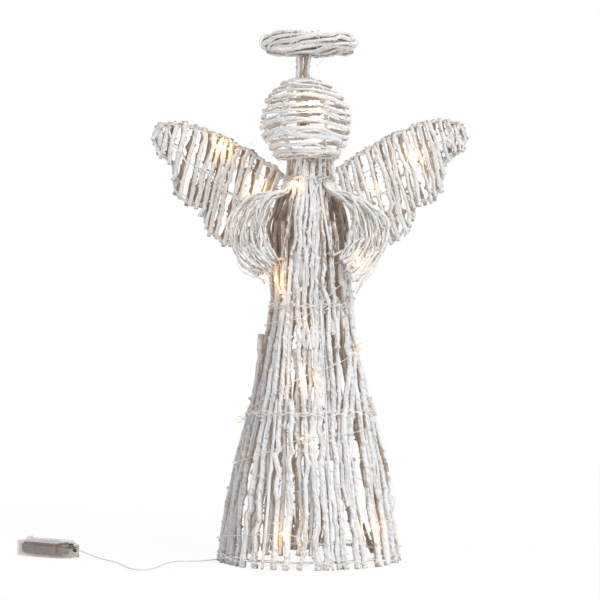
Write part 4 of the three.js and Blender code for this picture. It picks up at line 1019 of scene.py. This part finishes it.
def in_wing(shares, wider=0.0):
    """Reaches and heights of a wing from shares of its span and its height."""
    size = (WING_TIP_REACH - WING_ROOT_REACH + wider, WING_TOP - WING_BOTTOM)
    return np.array([WING_ROOT_REACH, WING_BOTTOM]) + shares * size


wing_outline = in_wing(WING_OUTLINE_SHARES)


def wing_point(side, lift, reach, height, depth):
    """Points of a wing from their reach, their height and their depth behind its middle plane, which is
    turned back by the sweep about the wing's root."""
    out = np.asarray(reach, float) - WING_ROOT_REACH
    return np.stack(np.broadcast_arrays(
        side * (WING_ROOT_REACH + out * np.cos(WING_SWEEP) - depth * np.sin(WING_SWEEP)),
        WING_PLANE + out * np.sin(WING_SWEEP) + depth * np.cos(WING_SWEEP),
        height + lift), axis=-1)


def across_sticks(places):
    """How far places lie along the direction square to the sticks."""
    return places @ np.array([np.cos(WING_SLANT), np.sin(WING_SLANT)])


def span_at(across):
    """The lowest and the highest place of the outline at a distance across the sticks."""
    start, end = wing_outline, np.roll(wing_outline, -1, axis=0)
    share = (across - across_sticks(start)) / (across_sticks(end) - across_sticks(start))
    met = (share >= 0) & (share < 1)
    places = start[met] + share[met, None] * (end[met] - start[met])
    return places[places[:, 1].argmin()], places[places[:, 1].argmax()]


def stick_layer(rng, wing, face, fewer, paint):
    """One layer of sticks, the places of the wire that binds it, and the way it faces. A stick runs from the
    outline's lowest place to its highest at equal steps across, with a bulge of half a sine wave."""
    side, count, radius, lift = WINGS[wing]
    distances = across_sticks(wing_outline)
    first = max(distances[0], distances[-1])
    pitch = (distances.max() - first) / count
    seat = WING_WIRE_RADIUS + SEAT_GAP + radius
    outwards = wing_point(side, 0, 0, 0, face) - wing_point(side, 0, 0, 0, 0)
    shells, binding = [], []
    for i in range(count - fewer):
        step = i + 0.5 + 0.58 * fewer + rng.uniform(-0.07, 0.07)
        across = first + step * pitch + STICK_SHIFTS[wing][i]
        bottom, top = span_at(min(across, distances.max() - 0.3 * pitch))
        length = np.linalg.norm(top - bottom)
        spare = (WING_STICK_ENDS + np.array([rng.uniform(1.0, 4.5), rng.uniform(-1.5, 2.0)])) / length
        share = np.linspace(-spare[0], 1 + spare[1], 7)
        bulge = WING_BULGE * np.sin(np.pi * np.clip(share, 0, 1)) * min(1, length / WING_BULGE_LENGTH)
        bow = 0.012 * length * np.sin(i * GOLDEN_ANGLE + np.pi * share)
        reach = bottom[0] + share * (top[0] - bottom[0]) + bow
        height = bottom[1] + share * (top[1] - bottom[1])
        reach = reach + rng.normal(0, 0.9) * (share - 0.5)
        line = wing_point(side, lift, reach, height, face * (seat + bulge))
        thick = radius * rng.uniform(0.72, 0.98) * (THIN_STICK_SHARE if i in THIN_STICKS[wing] else 1)
        taper = rng.uniform(-0.12, 0.2)
        shells.append(twig_shell(rng, line, lambda k: thick * (1 + taper * (k - 0.5)), faced(outwards),
                                 sides=12, step=1.0, crook=1.1, knot_gap=11, buds=1.1, paint=paint,
                                 rough=1.5))
        binding.append(line[3] + (thick + BINDING_RADIUS) * outwards * 1.05)
    return shells, np.array(binding), outwards


def tip_vines(rng, wing, outwards):
    """Short twigs across the tip of a wing's front, thin strands round its outline, and vines along the rim
    of its tip, each smooth through places in the wing's plane."""
    side, _, _, lift = WINGS[wing]
    shells = []
    for _ in range(TIP_TWIGS):
        middle = in_wing(np.array([rng.uniform(0.84, 0.965), rng.uniform(0.79, 0.93)]))
        lean = WING_SLANT + rng.uniform(-0.35, 0.5)
        half = rng.uniform(7, 13) * np.array([-np.sin(lean), np.cos(lean)])
        run = middle + np.linspace(-1, 1, 4)[:, None] * half
        line = wing_point(side, lift, run[:, 0], run[:, 1], rng.uniform(-9.5, -6))
        shells.append(twig_shell(rng, line, rng.uniform(1.1, 1.9), faced(outwards), sides=12, crook=1.0,
                                 knot_gap=7, buds=1.1, paint=rng.uniform(-0.4, 0.2), rough=1.2))
    run = np.repeat(wing_outline, 2, axis=0)
    run[1:-1:2] = (run[1:-1:2] + run[2::2]) / 2
    run = run[:-1]
    for _ in range(EDGE_STRANDS):
        line = wing_point(side, lift, run[:, 0], run[:, 1], rng.uniform(-4, -2))
        line = line + rng.normal(0, 1.3, line.shape)
        shells.append(twig_shell(rng, line, rng.uniform(0.5, 0.9), faced(outwards), sides=8, step=1.2,
                                 crook=0.8, knot_gap=6, buds=0.6, paint=rng.uniform(-0.2, 0.4), rough=1.2))
    rim = in_wing(TIP_RIM_SHARES, TIP_WIDENING[wing])
    for depth, thick, first, last in TIP_RIMS:
        line = wing_point(side, lift, rim[first:last, 0], rim[first:last, 1], depth)
        shells.append(twig_shell(rng, line + rng.normal(0, 0.8, line.shape), thick, faced(outwards), sides=12,
                                 crook=1.2, knot_gap=8, buds=1.1, paint=-0.2, rough=1.2))
    return shells


washed_stick = twig_material("limewashed wing stick", -0.15, (0.895, 0.89, 0.88, 1), (0.74, 0.72, 0.71, 1))
bare_sticks = {
    "left": twig_material("bare wing stick", 0.3, dark=(0.40, 0.305, 0.24, 1), light=(0.65, 0.525, 0.43, 1)),
    "right": twig_material("half bare wing stick", 0.1, dark=(0.58, 0.48, 0.40, 1),
                           light=(0.82, 0.71, 0.62, 1)),
}
upper_hold, lower_hold = WING_HOLD_HEIGHTS
for wing, (side, _, _, lift) in WINGS.items():
    rng = np.random.default_rng(60 + side)
    outline = wing_point(side, lift, wing_outline[:, 0], wing_outline[:, 1], 0)
    holds = []
    for height in (upper_hold - WING_HOLD_TAIL, upper_hold, lower_hold, lower_hold + WING_HOLD_TAIL):
        level = height + lift
        reach = body_radius(level) + stave_radius(level) + SEAT_GAP + WING_WIRE_RADIUS
        holds.append(around_axis(reach, WING_HOLD_AZIMUTH, level) * (side, 1, 1))
    path, _ = smooth_path(np.vstack([holds[:2], outline, holds[2:]]), 1.5)
    wire = twig_shell(rng, path[::4], WING_WIRE_RADIUS, faced(FRONT), sides=10, crook=0.5, knot_gap=6,
                      buds=0.5, paint=0.35, rough=1.5)
    add_piece(f"{wing}_wing_wire", [wire], washed_stick, [f"{wing}_wing_frame"])
    for face, layer, fewer, paint, material, slot in (
            (-1, "front", 0, 0.22, washed_stick, "whitewashed_twig"),
            (1, "back", 1, 0.2, bare_sticks[wing], "bare_twig")):
        shells, binding, outwards = stick_layer(rng, wing, face, fewer, paint)
        if layer == "front":
            shells += tip_vines(rng, wing, outwards)
        add_piece(f"{wing}_wing_{layer}_twigs", shells, material, [f"{wing}_wing_{layer}_sticks"])
        between = (binding[:-1] + binding[1:]) / 2 - BINDING_SINK * outwards
        weave = np.empty((len(binding) + len(between), 3))
        weave[::2], weave[1::2] = binding, between
        path, _ = smooth_path(weave, 1.0)
        wire = wire_shell(path, BINDING_RADIUS * WING_BINDING_SHARES[wing], BINDING_SIDES)
        add_piece(f"{wing}_wing_{layer}_binding", [wire], binding_wire)


# Arms. Bundles of thin vine tied at the shoulder, which fan out over the elbow and come together again before
# the waist, where they are cut. The fan runs from an inner line to an outer one, given as shares of the
# elbow's reach, of the hand's way forward and of the height from hand to tie.
ARM_VINES = 18
THIN_ARM_VINES = 16
ARM_VINE_RADIUS = 1.4
ARM_TIE_AZIMUTH = 2 * STAVE_PITCH - np.radians(4)
ARM_TIE_HEIGHT = 424
ARM_TIE_LEVEL = 422
ARM_TIE_LENGTH = 4
ARM_TIE_REACH = 3.2
ELBOW_REACH = 84
HAND_FORWARD = 46
HAND_HEIGHT = 316
ARM_LAYER_DEPTH = 2.6
ARM_PITCH = 2.95
ARM_END_SHIFTS = {"left_arm": (-9.0, 0, 1.0), "right_arm": (-9.0, 0, -7.0)}
THIN_VINE_SHARES = {"left_arm": (0, 1.0), "right_arm": (0.1, 1.08)}
ARM_INNER_SHARES = np.array([(0.49, 0.52, 0.84), (0.57, 0.61, 0.65), (0.56, 0.72, 0.46), (0.48, 0.85, 0.32),
                             (0.38, 1, 0.22)])
ARM_OUTER_SHARES = np.array([(0.75, 0.48, 0.82), (1, 0.57, 0.61), (1, 0.65, 0.39), (0.89, 0.8, 0.18),
                             (0.7, 0.96, 0)])


def arm_line(shares):
    """The places of a line of the arm from its shares."""
    return np.stack([ELBOW_REACH * shares[:, 0], -HAND_FORWARD * shares[:, 1],
                     HAND_HEIGHT + (ARM_TIE_HEIGHT - HAND_HEIGHT) * shares[:, 2]], axis=1)


def arm_fan(share):
    """The line of a vine at a share of the way from the fan's inner line to its outer one."""
    return arm_line(ARM_INNER_SHARES) * (1 - share) + arm_line(ARM_OUTER_SHARES) * share


def tied_line(rng, arm, start, fan, share, cuts):
    """A vine's line from its tie down its fan. Its last chord is longer or shorter by a random share, and its
    end is shifted by the arm's own shift times the share squared."""
    fan[-1] += (fan[-1] - fan[-2]) * rng.uniform(*cuts) + share**2 * np.array(ARM_END_SHIFTS[arm])
    return np.vstack([start + (0, 0, ARM_TIE_LENGTH), start - (0, 0, ARM_TIE_LENGTH / 2), fan])


tie_reach = body_radius(ARM_TIE_LEVEL) + 0.81 * stave_radius(ARM_TIE_LEVEL) / np.cos(np.radians(26))
tie_reach = tie_reach + SEAT_GAP + ARM_TIE_REACH
tie_place = around_axis(tie_reach, -ARM_TIE_AZIMUTH, float(ARM_TIE_HEIGHT))
tie_out = around_axis(1, -ARM_TIE_AZIMUTH, 0.0)
tie_aside = around_axis(1, np.pi / 2 - ARM_TIE_AZIMUTH, 0.0)
washed_vine = twig_material("limewashed vine", -0.08, (0.90, 0.90, 0.895, 1), (0.76, 0.75, 0.75, 1),
                            dark=(0.56, 0.45, 0.37, 1), light=(0.82, 0.70, 0.60, 1))
for side, arm in ((-1, "left_arm"), (1, "right_arm")):
    rng = np.random.default_rng(80 + side)
    shells = []
    for i in range(ARM_VINES):
        row = i % 2 - 0.5
        column = i // 2 - 4
        start = tie_place + row * ARM_PITCH * tie_out + 0.45 * column * ARM_PITCH * tie_aside
        share = np.clip(i / (ARM_VINES - 1) + rng.uniform(-0.08, 0.08), 0, 1)
        fan = arm_fan(share) + row * ARM_LAYER_DEPTH * FRONT
        fan = fan + rng.normal(0, 2.9, fan.shape)
        line = tied_line(rng, arm, start, fan, share, (-0.35, 0.10)) * (side, 1, 1)
        shells.append(twig_shell(rng, line, ARM_VINE_RADIUS * rng.uniform(0.7, 1.15), from_axis, sides=9,
                                 step=1.3, crook=1.0, knot_gap=8, buds=0.6, paint=0.3))
    for i in range(THIN_ARM_VINES):
        share = rng.uniform(*THIN_VINE_SHARES[arm])
        start = tie_place + rng.normal(0, 1.6, 3)
        fan = arm_fan(share)
        fan = fan + rng.normal(0, 4.0, fan.shape)
        line = tied_line(rng, arm, start, fan, share, (-0.3, 0.2)) * (side, 1, 1)
        shells.append(twig_shell(rng, line, rng.uniform(0.6, 0.95), from_axis, sides=8, step=1.4, crook=1.0,
                                 knot_gap=7, buds=0.45, paint=rng.uniform(-0.3, 0.4)))
    add_piece(f"{arm}_vines", shells, washed_vine, [arm])


# Stray fibres. Loose hair roots of the vines, which stand off the wings, the head and the arms. They hang by
# one end or lie across the twigs.
FIBRE_RADIUS = 0.22
FIBRE_SIDES = 5
FIBRES = [
    [(92, -8, 92), (96.5, -8, 78), (98.5, -8, 66), (96, -10, 56), (90, -14, 50)],
    [(-113, 72, 379), (-118, 70, 377), (-124, 68, 376)],
    [(-71.5, 54, 473), (-66, 52, 476), (-62, 50, 477)],
    [(-36.5, 30, 447), (-32, 26, 452), (-28.5, 22, 457)],
    [(46.5, -40, 310), (50.5, -42, 303), (56, -42, 299), (61.5, -42, 297)],
    [(-53.5, 20, 516), (-50, 10, 515), (-46, 0, 514)],
    [(27, -30, 459), (33, -31, 457), (38, -31, 455)],
    [(-42.5, -10, 455), (-38, -18, 459), (-34, -24, 461)],
    [(107, 68, 382), (114, 69, 383), (119, 69, 381)],
    [(-54.5, -20, 262), (-56, -19, 266), (-56.5, -18, 269)],
    [(30, 24, 463), (34, 20, 470), (36, 14, 474)],
    [(-157, 79, 493), (-152, 77, 500), (-149, 76, 503)],
    [(75, -24, 355), (80, -20, 361), (83, -16, 369)],
    [(8, 36, 562), (20, 12, 570), (26, -10, 566)],
    [(6, -54.5, 507), (17, -53, 496), (21.5, -48.5, 478), (31, -42, 468), (40, -32, 458)],
    [(-31, -40, 518), (-24, -47, 512), (-15, -52, 511), (-6, -54.5, 515)],
    [(18, -40, 330), (28, -46, 334), (36, -48, 337), (41, -47, 341)],
    [(-2, -36, 428), (9, -30, 437), (20, -24, 441), (27, -22, 440)],
    [(30, -20, 424), (36, -26, 415), (44, -30, 409), (54, -33, 403)],
]
fibre_shells = [wire_shell(smooth_path(fibre, 1.0)[0], FIBRE_RADIUS, FIBRE_SIDES) for fibre in FIBRES]
add_piece("stray_fibres", fibre_shells, binding_wire)


# Light string. Thin insulated wire that comes up inside the skirt from the lead's joint, goes out between
# two staves and winds up round the body to the head, with branches to the wings and the right arm. Its
# lamps are small clear drops moulded over warm white diodes.
STRING_RADIUS = 0.45
STRING_SIDES = 6
STRING_STEP = 2.0
STRING_STANDOFF = 1.9
STRING_TURN = 12
STRING_FOOT = (79.4, 185.6, 2.3)
LAMP_RADIUS = 2.0
LAMP_LENGTH_SHARE = 1.3
# A row of the route is an azimuth in degrees, a height, a distance proud of the staves, and 1 where a lamp
# sits. A row of the head's route is an azimuth, a height and a radius, and the branches are places.
STRING_ROUTE = np.array([
    (186, 5, -36, 0), (186, 12, -34, 0), (185.6, 19, -24, 0), (185.6, 23, -8, 0), (185.6, 26, 0, 0),
    (200, 31, 0, 0), (228, 36, 0, 0), (254.5, 40, 0, 1), (278, 29, 0, 0), (298, 31, 0, 0), (316, 45, 0, 1),
    (380, 76, 0, 0), (450, 98, 0, 0), (520, 108, 0, 0), (559.4, 112, 0, 1), (592, 124, 0, 0),
    (624.6, 142, 0, 1), (690, 150, 0, 0), (760, 154, 0, 0), (850, 156, 0, 0), (901, 159, 0, 1),
    (945, 186, 0, 0), (983, 209, 0, 1), (1030, 226, 0, 0), (1070, 242, 1, 1), (1140, 252, 0, 0),
    (1210, 262, 0, 0), (1290, 268, 0, 0), (1345, 274, 0, 1), (1330, 290, 0.5, 0), (1311, 303, 0.5, 1),
    (1304.5, 317, 0.8, 1), (1312, 345, 0.5, 0), (1321, 385, 0, 0), (1322, 408, 0, 0), (1321, 425, 0, 1),
    (1290, 435, 0.5, 0), (1230, 438, 0.5, 0), (1170, 440, 0.5, 0), (1110, 441, 0.5, 0), (1050, 443, 0.5, 0),
    (1022, 446, 2, 0),
])
STRING_HEAD_ROUTE = np.array([
    (-58, 449, 36), (-50, 457, 46), (-46, 470, 54), (-50, 486, 57.5), (-64, 501, 57), (-88.5, 512, 53.2),
])
STRING_BRANCHES = [
    [(-3, 26.5, 440), (-9, 37, 437), (-21, 48, 430), (-36, 52.5, 425), (-59.5, 55.5, 424), (-69, 57, 417),
     (-84, 59, 400), (-92, 60, 383)],
    [(-36, 52.5, 425), (-62, 56, 446), (-82, 59, 462), (-99.7, 61, 471)],
    [(3, 26.5, 440), (9, 37, 438), (21, 48, 433), (40, 53, 426), (73.5, 57.5, 422)],
    [(40, 53, 426), (70, 57, 444), (96, 60.5, 455), (119.6, 64, 460)],
    [(-4.2, -48, 274), (9, -53, 286), (28, -57, 304), (46, -56, 322), (55.3, -49, 339)],
]
BRANCH_LAMPS = [(-59.5, 55.5, 424), (-69, 57, 417), (-92, 60, 383), (-99.7, 61, 471), (73.5, 57.5, 422),
                (119.6, 64, 460), (55.3, -49, 339)]
# A lamp's share is how much of it is turned to the viewer. A group's row is its name, its lowest and highest
# share, the strength of its glow and its size.
LAMP_COLOUR = (1.0, 0.50, 0.11)
LAMP_WATTS = 0.0155
LAMP_SHARES = (0.55, 0.55, 0.0, 0.10, 0.09, 0.45, 0.12, 0.12, 0.12, 0.75, 0.25, 0.55, 0.7, 0.1, 0.1, 0.8, 0.1,
               0.6, 0.2)
LAMP_GROUPS = (
    ("light_string_lamps", 0.15, 1.0, 5.0, 1.0),
    ("side_on_lamps", 0.08, 0.15, 1.0, 0.75),
    ("turned_away_lamps", 0.0, 0.08, 0.0, 0.7),
)
LAMP_GLOW_OUT = 6.0
WING_GLOW_OUT = 17.0
WING_LAMP_REACH = 55
WING_LAMP_HEIGHT = 370
LOOPED_LAMPS = (4, 6)
LOOP_RADIUS = 3.3


def on_body(azimuth, height, proud):
    """Places just outside the staves, from an azimuth in degrees, a height and a distance proud of them."""
    level = np.minimum(height, STAVE_HEIGHT)
    reach = body_radius(level) + stave_radius(level) + STRING_STANDOFF + STRING_RADIUS + proud
    return around_axis(reach, np.radians(azimuth), height)


def drop_shell(place, radius, length):
    """A lamp's drop: an upright ellipsoid from pole to pole."""
    rise = np.sin(np.linspace(-1, 1, 9) * np.pi / 2)
    girth = radius * np.sqrt(np.clip(1 - rise**2, 0.0004, 1))
    path = place + rise[:, None] * length * UP
    return {"points": path[:, None] + girth[:, None, None] * around_axis(1, round_angles(12), 0)}


route_path = []
for here, there in zip(STRING_ROUTE[:-1], STRING_ROUTE[1:]):
    pieces = max(1, int(np.ceil(abs(there[0] - here[0]) / STRING_TURN)))
    share = np.arange(pieces)[:, None] / pieces
    route_path.append(here[:3] + share * (there - here)[:3])
route_path.append(STRING_ROUTE[-1:, :3])
foot_radius, foot_azimuth, foot_height = STRING_FOOT
string_points = np.vstack([
    around_axis(foot_radius, np.radians(foot_azimuth), np.array([foot_height])),
    on_body(*np.concatenate(route_path).T),
    around_axis(STRING_HEAD_ROUTE[:, 2], np.radians(STRING_HEAD_ROUTE[:, 0]), STRING_HEAD_ROUTE[:, 1]),
])
string_path, _ = smooth_path(string_points, STRING_STEP)
lamp_marks = STRING_ROUTE[STRING_ROUTE[:, 3] == 1]
lamp_places = np.vstack([
    on_body(lamp_marks[:, 0], lamp_marks[:, 1], lamp_marks[:, 2] + 0.5 * LAMP_RADIUS),
    string_points[-1:], np.array(BRANCH_LAMPS)])

string_shells = [wire_shell(string_path, STRING_RADIUS, STRING_SIDES)]
turn = round_angles(24)[:, None]
for index in LOOPED_LAMPS:
    outwards = unit(lamp_places[index] * (1, 1, 0))
    loop = lamp_places[index] + LOOP_RADIUS * (outwards + np.cos(turn) * outwards + np.sin(turn) * UP)
    string_shells.append(wire_shell(loop, 0.8 * STRING_RADIUS, STRING_SIDES, np.cross(outwards, UP),
                                    closed=True))
    lamp_places[index] += 1.6 * LOOP_RADIUS * outwards
for branch in STRING_BRANCHES:
    path, _ = smooth_path(branch, STRING_STEP)
    string_shells.append(wire_shell(path, STRING_RADIUS, STRING_SIDES))
string_wire = painted_wire_material("insulated string wire", (0.66, 0.60, 0.52, 1), (0.82, 0.79, 0.74, 1),
                                    200.0)
add_piece("light_string_wire", string_shells, string_wire, ["light_string"])

for name, low, high, glow, size in LAMP_GROUPS:
    drop_plastic, lamp_shader = principled(f"{name} drop", (1.0, 0.85, 0.6, 1), 0.2)
    lamp_shader.inputs["Emission Color"].default_value = (1.0, 0.62 + 0.02 * glow, 0.18 + 0.036 * glow, 1)
    lamp_shader.inputs["Emission Strength"].default_value = glow
    drops = [drop_shell(place, LAMP_RADIUS * size, LAMP_RADIUS * size * LAMP_LENGTH_SHARE)
             for place, bright in zip(lamp_places, LAMP_SHARES) if low <= bright < high]
    add_piece(name, drops, drop_plastic)

for i, (place, bright) in enumerate(zip(lamp_places, LAMP_SHARES)):
    glow = bpy.data.lights.new(f"lamp_glow_{i}", "POINT")
    glow.energy = LAMP_WATTS * bright
    glow.color = LAMP_COLOUR
    glow.shadow_soft_size = LAMP_RADIUS * MM
    holder = bpy.data.objects.new(f"lamp_glow_{i}", glow)
    on_wing = abs(place[0]) > WING_LAMP_REACH and place[2] > WING_LAMP_HEIGHT
    out = WING_GLOW_OUT * FRONT if on_wing else LAMP_GLOW_OUT * unit(place * (1, 1, 0))
    holder.location = (place + out) * MM
    bpy.context.scene.collection.objects.link(holder)


# Battery box. A clear moulded case with a clear hinged lid over two cells, a tapered nose that holds the
# switch, and spring contacts. The plastic is thin and a little smoky. The cells' wrap has fine print in
# lines round it, a dark upper side, and two rings, each at its middle along the box and half as wide as said.
BOX_TURN = np.radians(180 - 33)
BOX_PLACE = np.array([-266.5, 16.5, 0.0])
PRINT_PITCH = 1.3
UPPER_SIDE = (11.5, 13.0)
WRAP_GREY = (0.40, 0.375, 0.365, 1)
WRAP_DARK = (0.13, 0.10, 0.085, 1)
WRAP_RINGS = ((20.6, 0.9, (0.80, 0.36, 0.05, 1)), (46.0, 1.0, (0.22, 0.17, 0.145, 1)))
box_along = np.array([np.cos(BOX_TURN), np.sin(BOX_TURN), 0])

clear_plastic, _ = principled("clear moulded plastic", (0.79, 0.755, 0.735, 1), 0.2,
                              Transmission_Weight=0.92, IOR=1.12)
cell_wrap, cell_shader = principled("cell wrap", (0.16, 0.15, 0.145, 1), 0.4)
tree = cell_wrap.node_tree
place = tree.nodes.new("ShaderNodeTexCoord").outputs["Object"]
along_cell = tree.nodes.new("ShaderNodeVectorMath")
along_cell.operation = "DOT_PRODUCT"
tree.links.new(place, along_cell.inputs[0])
along_cell.inputs[1].default_value = box_along
along_cell = summed(tree, "SUBTRACT", along_cell.outputs["Value"], float(BOX_PLACE @ box_along) * MM)
split = tree.nodes.new("ShaderNodeSeparateXYZ")
tree.links.new(place, split.inputs["Vector"])
height = split.outputs["Z"]
lines = summed(tree, "SINE", summed(tree, "MULTIPLY", height, 2 * np.pi / (PRINT_PITCH * MM)))
print_marks = noise(tree, place, 1400.0, 2.0)
ink = summed(tree, "MULTIPLY", stepped(tree, lines, 0.0, 0.5), stepped(tree, print_marks, 0.42, 0.55))
# The wrap turns darker above this height, broken by the print noise.
upper = stepped(tree, height, UPPER_SIDE[0] * MM, UPPER_SIDE[1] * MM)
dim_ink = summed(tree, "MULTIPLY", ink, 0.5)
darker_upper_side = summed(tree, "MULTIPLY", upper, stepped(tree, print_marks, 0.36, 0.5))
wrap_colour = mixed(tree, WRAP_GREY, WRAP_DARK, summed(tree, "MAXIMUM", dim_ink, darker_upper_side))
for middle, half_width, colour in WRAP_RINGS:
    away = summed(tree, "ABSOLUTE", summed(tree, "SUBTRACT", along_cell, middle * MM))
    wrap_colour = mixed(tree, wrap_colour, colour, summed(tree, "LESS_THAN", away, half_width * MM))
tree.links.new(wrap_colour, cell_shader.inputs["Base Color"])
plating, _ = principled("contact plating", (0.75, 0.74, 0.72, 1), 0.3, Metallic=1.0)
dark_plastic, _ = principled("smoked dark plastic", (0.06, 0.045, 0.035, 1), 0.4)
board, _ = principled("printed board", (0.12, 0.16, 0.08, 1), 0.5)
for material, names in (
        (clear_plastic, ("battery_case", "battery_lid", "lead_joint")),
        (cell_wrap, ("battery_cell_near", "battery_cell_far")),
        (plating, ("contact_nose", "contact_tail")),
        (dark_plastic, ("switch_slider", "lead_gland")),
        (board, ("circuit_board",))):
    for name in names:
        nodes[name].data.materials.clear()
        nodes[name].data.materials.append(material)


# Studio. A white floor that fades into a white background, a large soft lamp from the front right, and even
# white light from all round. Where the camera, glass or metal looks, the background is plain white.
WORLD_LIGHT = 0.68
KEY_LIGHT = 1.35
KEY_SPREAD = np.radians(24)
KEY_TURN = (np.radians(50), 0, np.radians(42))
FLOOR_HALF = 1.5
FLOOR_HEIGHT = -0.0002
FLOOR_WHITENESS = 0.93


def seen_directly(tree):
    """1 where the camera, glass or metal looks at it, and 0 where only light falls on it."""
    path = tree.nodes.new("ShaderNodeLightPath")
    mirrored = summed(tree, "MAXIMUM", path.outputs["Is Glossy Ray"], path.outputs["Is Transmission Ray"])
    return summed(tree, "MAXIMUM", path.outputs["Is Camera Ray"], mirrored)


world = bpy.data.worlds.new("studio")
world.use_nodes = True
bpy.context.scene.world = world
tree = world.node_tree
background = tree.nodes["Background"]
looked_at = seen_directly(tree)
level = tree.nodes.new("ShaderNodeMapRange")
tree.links.new(looked_at, level.inputs["Value"])
level.inputs["To Min"].default_value = WORLD_LIGHT
level.inputs["To Max"].default_value = 1.0
background.inputs["Color"].default_value = (1, 1, 1, 1)
tree.links.new(level.outputs["Result"], background.inputs["Strength"])

key = bpy.data.lights.new("key", "SUN")
key.energy = KEY_LIGHT
key.angle = KEY_SPREAD
key_holder = bpy.data.objects.new("key", key)
key_holder.rotation_euler = KEY_TURN
bpy.context.scene.collection.objects.link(key_holder)

floor_mesh = bpy.data.meshes.new("floor")
floor_corners = [(x * FLOOR_HALF, y * FLOOR_HALF, 0) for x, y in ((-1, -1), (1, -1), (1, 1), (-1, 1))]
floor_mesh.from_pydata(floor_corners, [], [(0, 1, 2, 3)])
floor_material, shader = principled("white floor", (0.92, 0.92, 0.92, 1), 0.9)
tree = floor_material.node_tree
white = tree.nodes.new("ShaderNodeEmission")
white.inputs["Strength"].default_value = 1.0
blend = tree.nodes.new("ShaderNodeMixShader")
tree.links.new(summed(tree, "MULTIPLY", seen_directly(tree), FLOOR_WHITENESS), blend.inputs[0])
tree.links.new(shader.outputs[0], blend.inputs[1])
tree.links.new(white.outputs[0], blend.inputs[2])
tree.links.new(blend.outputs[0], tree.nodes["Material Output"].inputs["Surface"])
floor_mesh.materials.append(floor_material)
floor = bpy.data.objects.new("floor", floor_mesh)
floor.location = (0, 0, FLOOR_HEIGHT)
bpy.context.scene.collection.objects.link(floor)

bpy.context.scene.view_settings.view_transform = "Standard"
